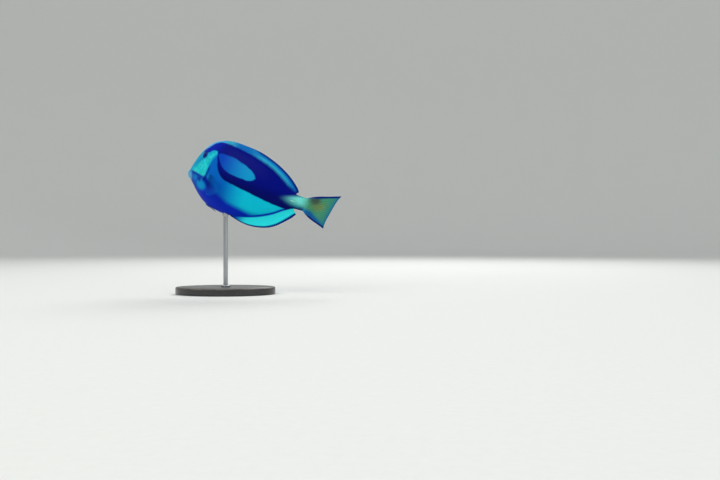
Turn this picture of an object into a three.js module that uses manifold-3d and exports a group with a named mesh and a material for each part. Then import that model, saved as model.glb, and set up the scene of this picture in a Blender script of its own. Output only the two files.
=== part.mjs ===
// Regal blue tang, Paracanthurus hepatus: a still, life-size model on a display stand.
// Millimetres, +Z up. The fish's tail points to +X and its left flank faces -Y.
// The origin is the centre of the stand's underside.
//
// The fish is first drawn straight, in fractions of its standard length: x runs from
// the snout to the tail base, y towards its right side and z towards its back. There the
// pieces are parted with thin cuts. Each piece is then bent along the swimming curve of
// the spine, and the whole fish is pitched and rolled on its rod.

import * as THREE from 'three';
import { ParametricGeometry } from 'three/addons/geometries/ParametricGeometry.js';
import { mergeVertices } from 'three/addons/utils/BufferGeometryUtils.js';
import Module from 'manifold-3d';

const wasm = await Module();
wasm.setup();

// Driving dimensions, in millimetres and degrees
const STANDARD_LENGTH = 155;
const GAP = 0.3;
const MIDDLE_HEIGHT = 125;
const PITCH = 19.5;
const ROLL = 7;
const TAIL_TWIST = 18;
const EYE_RADIUS = 4.5;
const EYE_HALF_DEPTH = 3.0;
const EYE_SINK = 1.6;
const MOUTH_SLIT = 0.6;
const FIN_ROOT_HALF = 0.75;
const FIN_EDGE_HALF = 0.3;
const GILL_COVER_INSIDE = 7.4;
const BASE_LENGTH = 108;
const BASE_WIDTH = 76;
const BASE_HEIGHT = 8;
const BASE_BEVEL = 1.5;
const ROD_RADIUS = 2.4;
const ROD_DEPTH_IN_BODY = 9;
const ROD_DEPTH_IN_BASE = 5;

// Swimming curve: heading of the spine in degrees, against the fraction of length
const heading = curve([
  [-0.1, -38], [0.22, -38], [0.45, -23.5], [0.75, -12], [0.95, 4], [1.08, 36], [1.4, 36],
]);
const twist = curve([[0.9, 0], [1.0, 0.15], [1.15, 1], [1.4, 1]]);
const MIDDLE = 0.45;

// Body outline, as fractions of the standard length
const back = curve([
  [0, -0.074], [0.012, -0.048], [0.03, -0.006], [0.07, 0.078], [0.12, 0.146], [0.18, 0.193],
  [0.25, 0.217], [0.34, 0.219], [0.44, 0.212], [0.56, 0.196], [0.68, 0.163], [0.8, 0.11],
  [0.88, 0.07], [0.94, 0.051], [1, 0.052],
]);
const belly = curve([
  [0, -0.1], [0.012, -0.117], [0.03, -0.13], [0.07, -0.153], [0.12, -0.182], [0.18, -0.212],
  [0.25, -0.238], [0.34, -0.255], [0.44, -0.256], [0.56, -0.239], [0.68, -0.2], [0.8, -0.138],
  [0.88, -0.078], [0.94, -0.046], [1, -0.042],
]);
const halfWidth = curve([
  [0, 0.017], [0.02, 0.027], [0.06, 0.042], [0.12, 0.058], [0.18, 0.069], [0.26, 0.077],
  [0.36, 0.078], [0.5, 0.07], [0.65, 0.054], [0.8, 0.035], [0.9, 0.024], [1, 0.0145],
]);
const SECTION_POWER = 2.2;
const SECTION_ROUNDING = 0.62;
const RIDGE = 0.9999;

// Fin outlines: height of the fin above the outline, against the ray's place on its base
const dorsalHeight = curve([
  [0.268, 0.002], [0.29, 0.008], [0.33, 0.018], [0.42, 0.031], [0.56, 0.042], [0.75, 0.046],
  [0.84, 0.04], [0.89, 0.029], [0.918, 0.018],
]);
const analHeight = curve([
  [0.51, 0.004], [0.55, 0.02], [0.6, 0.038], [0.65, 0.052], [0.7, 0.06], [0.76, 0.065],
  [0.84, 0.058], [0.9, 0.046], [0.93, 0.034],
]);
const DORSAL_BASE = { from: 0.268, to: 0.918, columns: 27 };
const ANAL_BASE = { from: 0.51, to: 0.93, columns: 19 };
const KEEL_FIN_ROOT_DEPTH = 0.016;
const RAY_LEAN = [0.4, 0.6];
const caudalHalfHeight = curve([
  [0, 0.047], [0.12, 0.064], [0.3, 0.084], [0.6, 0.11], [0.85, 0.128], [1, 0.139],
]);
const caudalHalfThickness = curve([
  [0, 0.0145], [0.08, 0.0115], [0.25, 0.006], [0.6, 0.0034], [1, 0.0021],
]);
const CAUDAL_SECTION_POWER = 8;
const CAUDAL_FLATTENING = 2.5;
const CAUDAL_MIDDLE = 0.004;
const CAUDAL_LENGTH = 0.212;
const CAUDAL_TIP_EXTRA = 0.014;
const CAUDAL_TIP_POWER = 4;

// Places on the head and body, as fractions of the standard length
const EYE = { x: 0.18, z: 0.086 };
const LIPS = { x: 0.014, z: -0.097, long: 0.0215, wide: 0.024, high: 0.035, lean: 28 };
const MOUTH_SLOPE = 0.1;
const GILL_OPENING = { x: 0.277, z: 0.06, bow: 1.13 };
const GILL_COVER = { top: 0.11, bottom: -0.115, front: 0.2, rear: 0.33, z: -0.015, bow: 3.6 };
const STALK_START = 0.875;
const SPINE = { x: 0.92, z: 0.003, long: 0.046, high: 0.0052, thick: 0.0036, sunk: 0.001, taper: 0.75 };
const ROD_ENTRY = 0.472;

// Pectoral and pelvic fins: where they are rooted and how they are carried
const PECTORAL = {
  x: 0.292, z: -0.048, rootHalf: 0.026, down: 34, out: 15, fanUp: 20, fanDown: 30,
  longRay: 0.2, shortRay: 0.11, shortening: 1.3, camber: 0.016, rootInside: 0.012,
  upperRounding: 0.25, lowerRounding: 0.12, columns: 12,
};
const PELVIC = {
  front: 0.298, rear: 0.326, apart: 0.014, spread: 0.012, down: [10, 4], longRay: 0.115,
  shortRay: 0.065, rootInside: 0.02, columns: 6,
};

// Facets: how many sides and rows the rounded parts have
const BODY_FACETS = { around: 30, along: 40, crowding: 0.6 };
const CAUDAL_FACETS = { around: 28, along: 14 };
const EYE_FACETS = { around: 16, rings: 10 };
const LIP_FACETS = { around: 18, rings: 12 };
const SPINE_FACETS = { around: 8, along: 7 };
const STAND_SIDES = 24;
const SHEET_ROWS = [0, 0.1, 0.4, 0.75, 0.96];
const SURFACE_WELD = 1e-4;
const SOLID_WELD = 1e-5;

// Reach of the cutting shapes, well past the fish: fractions of length, and aside in mm
const CUT = { front: -0.1, low: -0.4, high: 0.4, step: 0.02, aside: 40 };
const GILL_RUN = { low: -0.32, high: 0.3 };
const LIP_CUT = { front: -0.06, rear: 0.08, high: 0.1, aside: 20 };
const COVER_STEPS = 10;

// Colours of the parts
const AZURE = { color: 0x1a8cd0, roughness: 0.45 };
const CYAN = { color: 0x1fb4d2, roughness: 0.45 };
const ROYAL = { color: 0x0f4fc0, roughness: 0.45 };
const FIN_BLUE = { color: 0x2fa8dc, roughness: 0.5 };
const FIN_TURQUOISE = { color: 0x30d8e0, roughness: 0.5 };
const TAIL_YELLOW = { color: 0xb8c850, roughness: 0.5 };
const STALK_YELLOW = { color: 0xa9d48a, roughness: 0.5 };
const LIP_PALE = { color: 0xb4c4e4, roughness: 0.45 };
const EYE_DARK = { color: 0x070a30, roughness: 0.1 };
const SPINE_PALE = { color: 0xe8e4b0, roughness: 0.35 };
const BASE_BLACK = { color: 0x1c1c1e, roughness: 0.5 };
const ROD_STEEL = { color: 0xb8b8bc, roughness: 0.3, metalness: 1 };

// A smooth curve through [x, y] knots that doesn't overshoot them
function curve(knots) {
  const last = knots.length - 1;
  const width = (i) => knots[i + 1][0] - knots[i][0];
  const slope = (i) => (knots[i + 1][1] - knots[i][1]) / width(i);
  const tangent = knots.map((knot, i) => {
    if (i === 0) return slope(0);
    if (i === last) return slope(last - 1);
    const before = slope(i - 1);
    const after = slope(i);
    if (before * after <= 0) return 0;
    const weightBefore = 2 * width(i) + width(i - 1);
    const weightAfter = width(i) + 2 * width(i - 1);
    return (weightBefore + weightAfter) / (weightBefore / before + weightAfter / after);
  });
  return (value) => {
    const x = THREE.MathUtils.clamp(value, knots[0][0], knots[last][0]);
    let i = 0;
    while (i < last - 1 && x > knots[i + 1][0]) i += 1;
    const h = width(i);
    const t = (x - knots[i][0]) / h;
    const rise = t * t * (3 - 2 * t);
    const leave = t * (1 - t) * (1 - t) * h;
    const arrive = t * t * (t - 1) * h;
    return (
      knots[i][1] * (1 - rise) + knots[i + 1][1] * rise + tangent[i] * leave + tangent[i + 1] * arrive
    );
  };
}

// The straight body

function middleOf(x) {
  return (back(x) + belly(x)) / 2;
}

function halfHeightOf(x) {
  return (back(x) - belly(x)) / 2;
}

function roundness(t, power) {
  return (1 - Math.min(Math.abs(t), 1) ** power) ** SECTION_ROUNDING;
}

// Half the body's thickness at a place on its flank
function flank(x, z) {
  return halfWidth(x) * roundness((z - middleOf(x)) / halfHeightOf(x), SECTION_POWER);
}

// A point on the flank and the direction out of it; side is -1 on the left, 1 on the right
function onFlank(x, z, side) {
  const step = 0.002;
  const place = (px, pz) => new THREE.Vector3(px, side * flank(px, pz), pz);
  const along = place(x + step, z).sub(place(x - step, z));
  const up = place(x, z + step).sub(place(x, z - step));
  const out = up.cross(along).normalize();
  if (out.y * side < 0) out.negate();
  return { point: place(x, z).multiplyScalar(STANDARD_LENGTH), out };
}

// Closed surfaces and solids

function closedSurface(point, around, along) {
  const open = new ParametricGeometry(point, around, along);
  open.deleteAttribute('normal');
  open.deleteAttribute('uv');
  const merged = mergeVertices(open, SURFACE_WELD);
  const corners = Array.from(merged.index.array);
  const index = [];
  for (let i = 0; i < corners.length; i += 3) {
    const [a, b, c] = corners.slice(i, i + 3);
    if (a !== b && b !== c && c !== a) index.push(a, b, c);
  }
  merged.setIndex(index);
  return merged;
}

function enclosedVolume(positions, index) {
  const [a, b, c] = [new THREE.Vector3(), new THREE.Vector3(), new THREE.Vector3()];
  let sum = 0;
  for (let i = 0; i < index.length; i += 3) {
    a.fromArray(positions, index[i] * 3);
    b.fromArray(positions, index[i + 1] * 3);
    c.fromArray(positions, index[i + 2] * 3);
    sum += a.dot(b.cross(c));
  }
  return sum / 6;
}

function solid(geometry) {
  const bare = geometry.clone();
  bare.deleteAttribute('normal');
  bare.deleteAttribute('uv');
  const merged = mergeVertices(bare, SOLID_WELD);
  const positions = Float32Array.from(merged.attributes.position.array);
  const index = Uint32Array.from(merged.index.array);
  if (enclosedVolume(positions, index) < 0) index.reverse();
  return new wasm.Manifold(
    new wasm.Mesh({ numProp: 3, vertProperties: positions, triVerts: index }),
  );
}

function geometryOf(manifold) {
  const mesh = manifold.getMesh();
  const geometry = new THREE.BufferGeometry();
  geometry.setAttribute('position', new THREE.Float32BufferAttribute(mesh.vertProperties, 3));
  geometry.setIndex(Array.from(mesh.triVerts));
  return geometry;
}

// A prism across the whole fish, from an outline in the plane of symmetry
function prism(outline, nearY, farY) {
  const shape = new THREE.Shape(outline.map(([x, z]) => new THREE.Vector2(x, z)));
  const geometry = new THREE.ExtrudeGeometry(shape, { depth: farY - nearY, bevelEnabled: false });
  geometry.rotateX(Math.PI / 2);
  geometry.translate(0, farY, 0);
  geometry.scale(STANDARD_LENGTH, 1, STANDARD_LENGTH);
  return solid(geometry);
}

// A thin closed solid round a middle surface mid(u, h), where h runs from root to edge.
// It thins to nothing at both ends, at its edge and at its root.
function thinSheet(mid, half, columns) {
  const top = SHEET_ROWS.length;
  const heights = [...SHEET_ROWS, 1, ...SHEET_ROWS.slice().reverse()];
  const normal = new THREE.Vector3();
  return closedSurface(
    (w, u, target) => {
      const row = Math.round(w * 2 * top);
      const h = heights[row];
      const side = Math.sign(top - row) * (row > 0 && row < 2 * top ? 1 : 0);
      const column = Math.round(u * columns);
      const ends = column === 0 || column === columns ? 0 : 1;
      const step = 0.01;
      const along = mid(Math.min(u + step, 1), h).sub(mid(Math.max(u - step, 0), h));
      const up = mid(u, h + step).sub(mid(u, h - step));
      normal.crossVectors(along, up).normalize();
      target.copy(mid(u, h)).addScaledVector(normal, side * ends * half(h));
    },
    2 * top,
    columns,
  );
}

function finHalf(h) {
  return THREE.MathUtils.lerp(FIN_ROOT_HALF, FIN_EDGE_HALF, THREE.MathUtils.clamp(h, 0, 1));
}

// The bend of the spine

const SPINE_STEPS = 600;
const SPINE_FROM = -0.1;
const SPINE_TO = 1.4;
const spineTable = tableOfSpine();

function tableOfSpine() {
  const step = (SPINE_TO - SPINE_FROM) / SPINE_STEPS;
  const table = [new THREE.Vector2(0, 0)];
  for (let i = 0; i < SPINE_STEPS; i += 1) {
    const angle = THREE.MathUtils.degToRad(heading(SPINE_FROM + (i + 0.5) * step));
    const move = new THREE.Vector2(Math.cos(angle), Math.sin(angle)).multiplyScalar(step);
    table.push(table[i].clone().add(move));
  }
  return table;
}

function spineAt(x) {
  const place = ((x - SPINE_FROM) / (SPINE_TO - SPINE_FROM)) * SPINE_STEPS;
  const i = THREE.MathUtils.clamp(Math.floor(place), 0, SPINE_STEPS - 1);
  return spineTable[i].clone().lerp(spineTable[i + 1], place - i);
}

// Carries a point of the straight fish to the swimming one
function bend(p) {
  const x = p.x / STANDARD_LENGTH;
  const angle = THREE.MathUtils.degToRad(heading(x));
  const turn = THREE.MathUtils.degToRad(TAIL_TWIST) * twist(x);
  const y = p.y * Math.cos(turn) - p.z * Math.sin(turn);
  const z = p.y * Math.sin(turn) + p.z * Math.cos(turn);
  const spine = spineAt(x).sub(spineAt(MIDDLE)).multiplyScalar(STANDARD_LENGTH);
  p.set(spine.x - y * Math.sin(angle), spine.y + y * Math.cos(angle), z);
}

function bent(manifold) {
  const geometry = geometryOf(manifold);
  const position = geometry.attributes.position;
  const p = new THREE.Vector3();
  for (let i = 0; i < position.count; i += 1) {
    p.fromBufferAttribute(position, i);
    bend(p);
    position.setXYZ(i, p.x, p.y, p.z);
  }
  return geometry;
}

// Sections of the body from the snout to the tail base, closest together at the snout and
// grown by a clearance all round
function bodySolid(grow) {
  const { around, along, crowding } = BODY_FACETS;
  const clearance = grow / STANDARD_LENGTH;
  const station = (i) => {
    const s = THREE.MathUtils.clamp((i - 1) / (along - 2), 0, 1);
    return s * (1 - crowding + crowding * s);
  };
  return solid(
    closedSurface(
      (u, v, target) => {
        const i = Math.round(v * along);
        const x = station(i);
        const closing = i === 0 || i === along ? 0 : 1;
        const angle = u * 2 * Math.PI;
        const t = Math.sin(angle);
        const side = Math.sign(Math.cos(angle)) * roundness(t, SECTION_POWER);
        target.set(
          x - (i < 2 ? clearance : 0) + (i > along - 2 ? clearance : 0),
          closing * (Math.abs(t) > RIDGE ? 0 : side) * (halfWidth(x) + clearance),
          middleOf(x) + closing * t * (halfHeightOf(x) + clearance),
        );
        target.multiplyScalar(STANDARD_LENGTH);
      },
      around,
      along,
    ),
  );
}

// The rear edge of the head follows the gill opening
function gillLine(z) {
  return GILL_OPENING.x - GILL_OPENING.bow * (z - GILL_OPENING.z) ** 2;
}

function gillOutline(shift) {
  const points = [];
  for (let z = GILL_RUN.low; z < GILL_RUN.high; z += CUT.step) points.push([gillLine(z) + shift, z]);
  return points;
}

function headBlock(shift) {
  const front = [[CUT.front, GILL_RUN.high], [CUT.front, GILL_RUN.low]];
  return prism([...front, ...gillOutline(shift)], -CUT.aside, CUT.aside);
}

function slab(from, to) {
  const outline = [[from, CUT.low], [to, CUT.low], [to, CUT.high], [from, CUT.high]];
  return prism(outline, -CUT.aside, CUT.aside);
}

// The gill cover is a plate between the cheek and the gill opening
function coverPrism(grow, side) {
  const g = grow / STANDARD_LENGTH;
  const { top, bottom, rear } = GILL_COVER;
  const outline = [[rear, bottom - g], [rear, top + g]];
  for (let i = 0; i <= COVER_STEPS; i += 1) {
    const s = i / COVER_STEPS;
    const z = THREE.MathUtils.lerp(top + g, bottom - g, s);
    outline.push([GILL_COVER.front + GILL_COVER.bow * (z - GILL_COVER.z) ** 2 - g, z]);
  }
  const inside = GILL_COVER_INSIDE - grow;
  return side < 0 ? prism(outline, -CUT.aside, -inside) : prism(outline, inside, CUT.aside);
}

function eyeSolid(side, grow) {
  const { point, out } = onFlank(EYE.x, EYE.z, side);
  const centre = point.addScaledVector(out, -EYE_SINK);
  const wide = EYE_RADIUS + grow;
  const geometry = new THREE.SphereGeometry(1, EYE_FACETS.around, EYE_FACETS.rings);
  geometry.scale(wide, EYE_HALF_DEPTH + grow, wide);
  geometry.applyQuaternion(
    new THREE.Quaternion().setFromUnitVectors(new THREE.Vector3(0, 1, 0), out),
  );
  geometry.translate(centre.x, centre.y, centre.z);
  return solid(geometry);
}

function lipsSolid(grow) {
  const g = grow / STANDARD_LENGTH;
  const radii = new THREE.Vector3(LIPS.long + g, LIPS.wide + g, LIPS.high + g);
  const centre = new THREE.Vector3(LIPS.x, 0, LIPS.z).multiplyScalar(STANDARD_LENGTH);
  const geometry = new THREE.SphereGeometry(1, LIP_FACETS.around, LIP_FACETS.rings);
  radii.multiplyScalar(STANDARD_LENGTH);
  geometry.rotateX(Math.PI / 2);
  geometry.scale(radii.x, radii.y, radii.z);
  geometry.rotateY(THREE.MathUtils.degToRad(-LIPS.lean));
  geometry.translate(centre.x, centre.y, centre.z);
  return solid(geometry);
}

// The half of the lips above or below the mouth, which slopes down towards its corners
function lip(side) {
  const half = MOUTH_SLIT / 2 / STANDARD_LENGTH;
  const mouth = (x) => LIPS.z - MOUTH_SLOPE * (x - LIPS.x) + side * half;
  const { front, rear, high, aside } = LIP_CUT;
  const far = LIPS.z + side * high;
  const outline = [[front, mouth(front)], [rear, mouth(rear)], [rear, far], [front, far]];
  return lipsSolid(0).intersect(prism(outline, -aside, aside));
}

// A folded tail spine: a slim lancet whose point lies forward
function spineSolid(side, grow) {
  const y = side * (flank(SPINE.x, SPINE.z) - SPINE.sunk) * STANDARD_LENGTH;
  return solid(
    closedSurface(
      (u, v, target) => {
        const angle = u * 2 * Math.PI;
        const swell = v > 0 && v < 1 ? Math.sqrt(Math.sin(Math.PI * v ** SPINE.taper)) : 0;
        const along = (v - 0.5) * (SPINE.long * STANDARD_LENGTH + 2 * grow);
        target.set(
          SPINE.x * STANDARD_LENGTH - along,
          y + swell * (SPINE.thick * STANDARD_LENGTH + grow) * Math.cos(angle),
          SPINE.z * STANDARD_LENGTH + swell * (SPINE.high * STANDARD_LENGTH + grow) * Math.sin(angle),
        );
      },
      SPINE_FACETS.around,
      SPINE_FACETS.along,
    ),
  );
}

// Fins on the line of the back or belly; up is 1 for the back and -1 for the belly
function keelFin(outline, height, base, up) {
  return solid(
    thinSheet(
      (u, h) => {
        const x = THREE.MathUtils.lerp(base.from, base.to, u);
        const tall = height(x) + KEEL_FIN_ROOT_DEPTH;
        const lean = RAY_LEAN[0] + RAY_LEAN[1] * x;
        const rise = h * tall - KEEL_FIN_ROOT_DEPTH;
        return new THREE.Vector3(x + lean * Math.max(rise, 0), 0, outline(x) + up * rise)
          .multiplyScalar(STANDARD_LENGTH);
      },
      finHalf,
      base.columns,
    ),
  );
}

// The tail fin continues the stalk and fans out to two short points
function caudalSolid() {
  const { around, along } = CAUDAL_FACETS;
  const start = 1 + GAP / STANDARD_LENGTH;
  return solid(
    closedSurface(
      (u, v, target) => {
        const i = Math.round(v * along);
        const s = THREE.MathUtils.clamp((i - 1) / (along - 2), 0, 1);
        const closing = i === 0 || i === along ? 0 : 1;
        const angle = u * 2 * Math.PI;
        const t = Math.sin(angle);
        const flatness = Math.min(s * CAUDAL_FLATTENING, 1);
        const power = THREE.MathUtils.lerp(SECTION_POWER, CAUDAL_SECTION_POWER, flatness);
        const side = Math.abs(t) > RIDGE ? 0 : Math.sign(Math.cos(angle)) * roundness(t, power);
        const tips = closing * CAUDAL_TIP_EXTRA * Math.abs(t) ** CAUDAL_TIP_POWER;
        target.set(
          start + s * (CAUDAL_LENGTH + tips),
          closing * side * caudalHalfThickness(s),
          CAUDAL_MIDDLE + closing * t * caudalHalfHeight(s),
        );
        target.multiplyScalar(STANDARD_LENGTH);
      },
      around,
      along,
    ),
  );
}

// A fan of rays rooted on the flank and carried half folded
function pectoralFin(side) {
  const fin = PECTORAL;
  const { point, out } = onFlank(fin.x, fin.z, side);
  const tailward = new THREE.Vector3(1, 0, 0).addScaledVector(out, -out.x).normalize();
  const upward = new THREE.Vector3().crossVectors(out, tailward).normalize();
  if (upward.z < 0) upward.negate();
  const rad = THREE.MathUtils.degToRad;
  return solid(
    thinSheet(
      (u, h) => {
        const aim = rad(THREE.MathUtils.lerp(fin.fanUp, -fin.fanDown, u) - fin.down);
        const length = THREE.MathUtils.lerp(fin.longRay, fin.shortRay, u ** fin.shortening);
        const rounding = 1 - fin.upperRounding * (1 - u) ** 8 - fin.lowerRounding * u ** 6;
        const reach = h * (length * rounding + fin.rootInside) - fin.rootInside;
        const bow = fin.camber * Math.sin(Math.PI * u) * Math.max(h, 0);
        const outward = reach * Math.sin(rad(fin.out)) + bow;
        const forth = reach * Math.cos(rad(fin.out));
        return point.clone()
          .addScaledVector(upward, (fin.rootHalf * (1 - 2 * u) + forth * Math.sin(aim)) * STANDARD_LENGTH)
          .addScaledVector(tailward, forth * Math.cos(aim) * STANDARD_LENGTH)
          .addScaledVector(out, outward * STANDARD_LENGTH);
      },
      finHalf,
      fin.columns,
    ),
  );
}

// A few rays rooted beside the keel of the belly and folded back along it
function pelvicFin(side) {
  return solid(
    thinSheet(
      (u, h) => {
        const x = THREE.MathUtils.lerp(PELVIC.front, PELVIC.rear, u);
        const aim = THREE.MathUtils.degToRad(THREE.MathUtils.lerp(...PELVIC.down, u));
        const length = THREE.MathUtils.lerp(PELVIC.longRay, PELVIC.shortRay, u);
        const reach = h * (length + PELVIC.rootInside) - PELVIC.rootInside;
        return new THREE.Vector3(
          x + reach * Math.cos(aim),
          side * (PELVIC.apart + PELVIC.spread * h),
          belly(x) + PELVIC.apart / 3 - reach * Math.sin(aim),
        ).multiplyScalar(STANDARD_LENGTH);
      },
      finHalf,
      PELVIC.columns,
    ),
  );
}

// The fish's place on the stand: its middle above the base, nose up and back to the viewer
const fish = new THREE.Group();
fish.rotation.order = 'YXZ';
fish.rotation.x = THREE.MathUtils.degToRad(ROLL);
fish.rotation.y = THREE.MathUtils.degToRad(PITCH);
fish.updateMatrixWorld();

// The rod stands at the centre of the base and meets the belly's lowest line
const rodEntry = new THREE.Vector3(ROD_ENTRY, 0, belly(ROD_ENTRY)).multiplyScalar(STANDARD_LENGTH);
bend(rodEntry);
rodEntry.applyMatrix4(fish.matrixWorld);
fish.position.set(-rodEntry.x, -rodEntry.y, MIDDLE_HEIGHT);
fish.updateMatrixWorld();
const rodTop = MIDDLE_HEIGHT + rodEntry.z + ROD_DEPTH_IN_BODY;

function rodSolid(grow) {
  const bottom = BASE_HEIGHT - ROD_DEPTH_IN_BASE - grow;
  const height = rodTop + grow - bottom;
  const geometry = new THREE.CylinderGeometry(ROD_RADIUS + grow, ROD_RADIUS + grow, height, STAND_SIDES);
  geometry.rotateX(Math.PI / 2);
  geometry.translate(0, 0, bottom + height / 2);
  return geometry;
}

function baseSolid() {
  const shape = new THREE.Shape();
  shape.absellipse(0, 0, BASE_LENGTH / 2 - BASE_BEVEL, BASE_WIDTH / 2 - BASE_BEVEL, 0, 2 * Math.PI);
  const geometry = new THREE.ExtrudeGeometry(shape, {
    depth: BASE_HEIGHT - BASE_BEVEL,
    bevelThickness: BASE_BEVEL,
    bevelSize: BASE_BEVEL,
    bevelSegments: 2,
    curveSegments: STAND_SIDES,
  });
  // The lower bevel is cut away, so that the underside is flat to its rim
  const block = new THREE.BoxGeometry(2 * BASE_LENGTH, 2 * BASE_WIDTH, 2 * BASE_HEIGHT);
  block.translate(0, 0, BASE_HEIGHT);
  return solid(geometry).intersect(solid(block)).subtract(solid(rodSolid(GAP)));
}

// Cutting the straight body into its parts

const body = bodySolid(0);
const clearBody = bodySolid(GAP);

function headSolid() {
  return body
    .intersect(headBlock(-GAP / 2 / STANDARD_LENGTH))
    .subtract(lipsSolid(GAP))
    .subtract(eyeSolid(-1, GAP))
    .subtract(eyeSolid(1, GAP))
    .subtract(coverPrism(GAP, -1))
    .subtract(coverPrism(GAP, 1));
}

function gillCover(side) {
  return body.intersect(headBlock(-GAP / 2 / STANDARD_LENGTH)).intersect(coverPrism(0, side));
}

function trunkGeometry() {
  const half = GAP / 2 / STANDARD_LENGTH;
  const straight = body
    .subtract(headBlock(half))
    .intersect(slab(CUT.front, STALK_START - half));
  const clearance = rodSolid(GAP).applyMatrix4(fish.matrixWorld.clone().invert());
  return geometryOf(solid(bent(straight)).subtract(solid(clearance)));
}

function stalkSolid() {
  const half = GAP / 2 / STANDARD_LENGTH;
  return body
    .intersect(slab(STALK_START + half, 1 + CUT.high))
    .subtract(spineSolid(-1, GAP))
    .subtract(spineSolid(1, GAP));
}

// The finished meshes

const model = new THREE.Group();
model.add(fish);

function add(parent, name, geometry, finish) {
  geometry.computeVertexNormals();
  const mesh = new THREE.Mesh(geometry, new THREE.MeshStandardMaterial(finish));
  mesh.name = name;
  parent.add(mesh);
}

add(fish, 'head', bent(headSolid()), CYAN);
add(fish, 'trunk', trunkGeometry(), AZURE);
add(fish, 'tail_stalk', bent(stalkSolid()), STALK_YELLOW);
add(fish, 'upper_lip', bent(lip(1)), LIP_PALE);
add(fish, 'lower_lip', bent(lip(-1)), LIP_PALE);
const dorsal = keelFin(back, dorsalHeight, DORSAL_BASE, 1);
const anal = keelFin(belly, analHeight, ANAL_BASE, -1);
add(fish, 'dorsal_fin', bent(dorsal.subtract(clearBody)), FIN_BLUE);
add(fish, 'anal_fin', bent(anal.subtract(clearBody)), FIN_TURQUOISE);
add(fish, 'caudal_fin', bent(caudalSolid()), TAIL_YELLOW);

const sides = [['left', -1], ['right', 1]];
for (const [word, side] of sides) {
  add(fish, `gill_cover_${word}`, bent(gillCover(side)), CYAN);
  add(fish, `eye_${word}`, bent(eyeSolid(side, 0)), EYE_DARK);
  add(fish, `pectoral_fin_${word}`, bent(pectoralFin(side).subtract(clearBody)), FIN_BLUE);
  add(fish, `pelvic_fin_${word}`, bent(pelvicFin(side).subtract(clearBody)), ROYAL);
  add(fish, `tail_spine_${word}`, bent(spineSolid(side, 0)), SPINE_PALE);
}

add(model, 'stand_base', geometryOf(baseSolid()), BASE_BLACK);
add(model, 'stand_rod', rodSolid(0), ROD_STEEL);

export default model;
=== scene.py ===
"""A regal blue tang, life-size, on its display stand in a plain studio.

Metres, +Z up. The tail points to +X and the left flank faces -Y. The fish is first laid out
straight, in fractions of its standard length: x from the snout to the tail base, y towards
its right side and z towards its back. It is then bent along the swimming curve of the spine,
pitched and rolled, as the solids of the frame are.
"""

import math
from itertools import chain

import bpy
import numpy as np
from bpy.props import FloatProperty, FloatVectorProperty, IntProperty, PointerProperty
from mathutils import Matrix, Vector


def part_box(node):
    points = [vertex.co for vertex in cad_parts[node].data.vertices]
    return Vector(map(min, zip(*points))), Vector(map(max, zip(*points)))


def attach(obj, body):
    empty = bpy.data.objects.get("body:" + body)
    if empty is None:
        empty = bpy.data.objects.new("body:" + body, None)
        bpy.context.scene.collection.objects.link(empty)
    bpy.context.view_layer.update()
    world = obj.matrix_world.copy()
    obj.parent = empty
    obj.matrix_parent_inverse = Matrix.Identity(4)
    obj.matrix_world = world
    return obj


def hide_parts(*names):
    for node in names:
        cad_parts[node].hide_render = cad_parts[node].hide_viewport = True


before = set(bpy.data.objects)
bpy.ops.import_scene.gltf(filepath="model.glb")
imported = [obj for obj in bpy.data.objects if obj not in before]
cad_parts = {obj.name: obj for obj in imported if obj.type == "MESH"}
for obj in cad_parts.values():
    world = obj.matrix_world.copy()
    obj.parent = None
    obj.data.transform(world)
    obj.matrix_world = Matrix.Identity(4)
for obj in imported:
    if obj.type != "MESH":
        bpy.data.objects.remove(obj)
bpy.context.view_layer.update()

bl_info = {
    "name": "Regal blue tang display model",
    "version": (1, 0, 0),
    "blender": (4, 5, 0),
    "location": "3D View > Sidebar > Blue tang",
    "description": "Builds a life-size regal blue tang with its eyes, tail spines and stand",
    "category": "Add Mesh",
}

MM = 0.001
SLOPE_STEP = 0.002


def curve(*knots):
    """A smooth curve through (x, y) knots that doesn't overshoot them, level past its ends."""
    x, y = np.array(knots, float).T
    width = np.diff(x)
    slope = np.diff(y) / width
    before, after = slope[:-1], slope[1:]
    weight_before = 2 * width[1:] + width[:-1]
    weight_after = width[1:] + 2 * width[:-1]
    turning = before * after <= 0
    safe_before = np.where(turning, 1, before)
    safe_after = np.where(turning, 1, after)
    mean = (weight_before + weight_after) / (weight_before / safe_before + weight_after / safe_after)
    tangent = np.concatenate([slope[:1], np.where(turning, 0, mean), slope[-1:]])

    def at(value):
        v = np.clip(value, x[0], x[-1])
        i = np.clip(np.searchsorted(x, v) - 1, 0, len(x) - 2)
        t = (v - x[i]) / width[i]
        rise = t * t * (3 - 2 * t)
        leave = tangent[i] * t * (1 - t) ** 2 * width[i]
        arrive = tangent[i + 1] * t * t * (t - 1) * width[i]
        return y[i] * (1 - rise) + y[i + 1] * rise + leave + arrive

    return at


def smooth(value, low, high):
    """Rises smoothly from 0 at low to 1 at high."""
    t = np.clip((value - low) / (high - low), 0, 1)
    return t * t * (3 - 2 * t)


def falls(value, full, gone):
    """Falls smoothly from 1 at full to 0 at gone."""
    return smooth(-value, -gone, -full)


def within(value, start, full, fading, gone):
    """Rises smoothly from 0 at start to 1 at full, and falls from fading to 0 at gone."""
    return smooth(value, start, full) * falls(value, fading, gone)


def bell(value, middle, width):
    return np.exp(-(((value - middle) / width) ** 2))


def lerp(a, b, share):
    return a + (b - a) * share


# The straight fish, in fractions of its standard length

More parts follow.
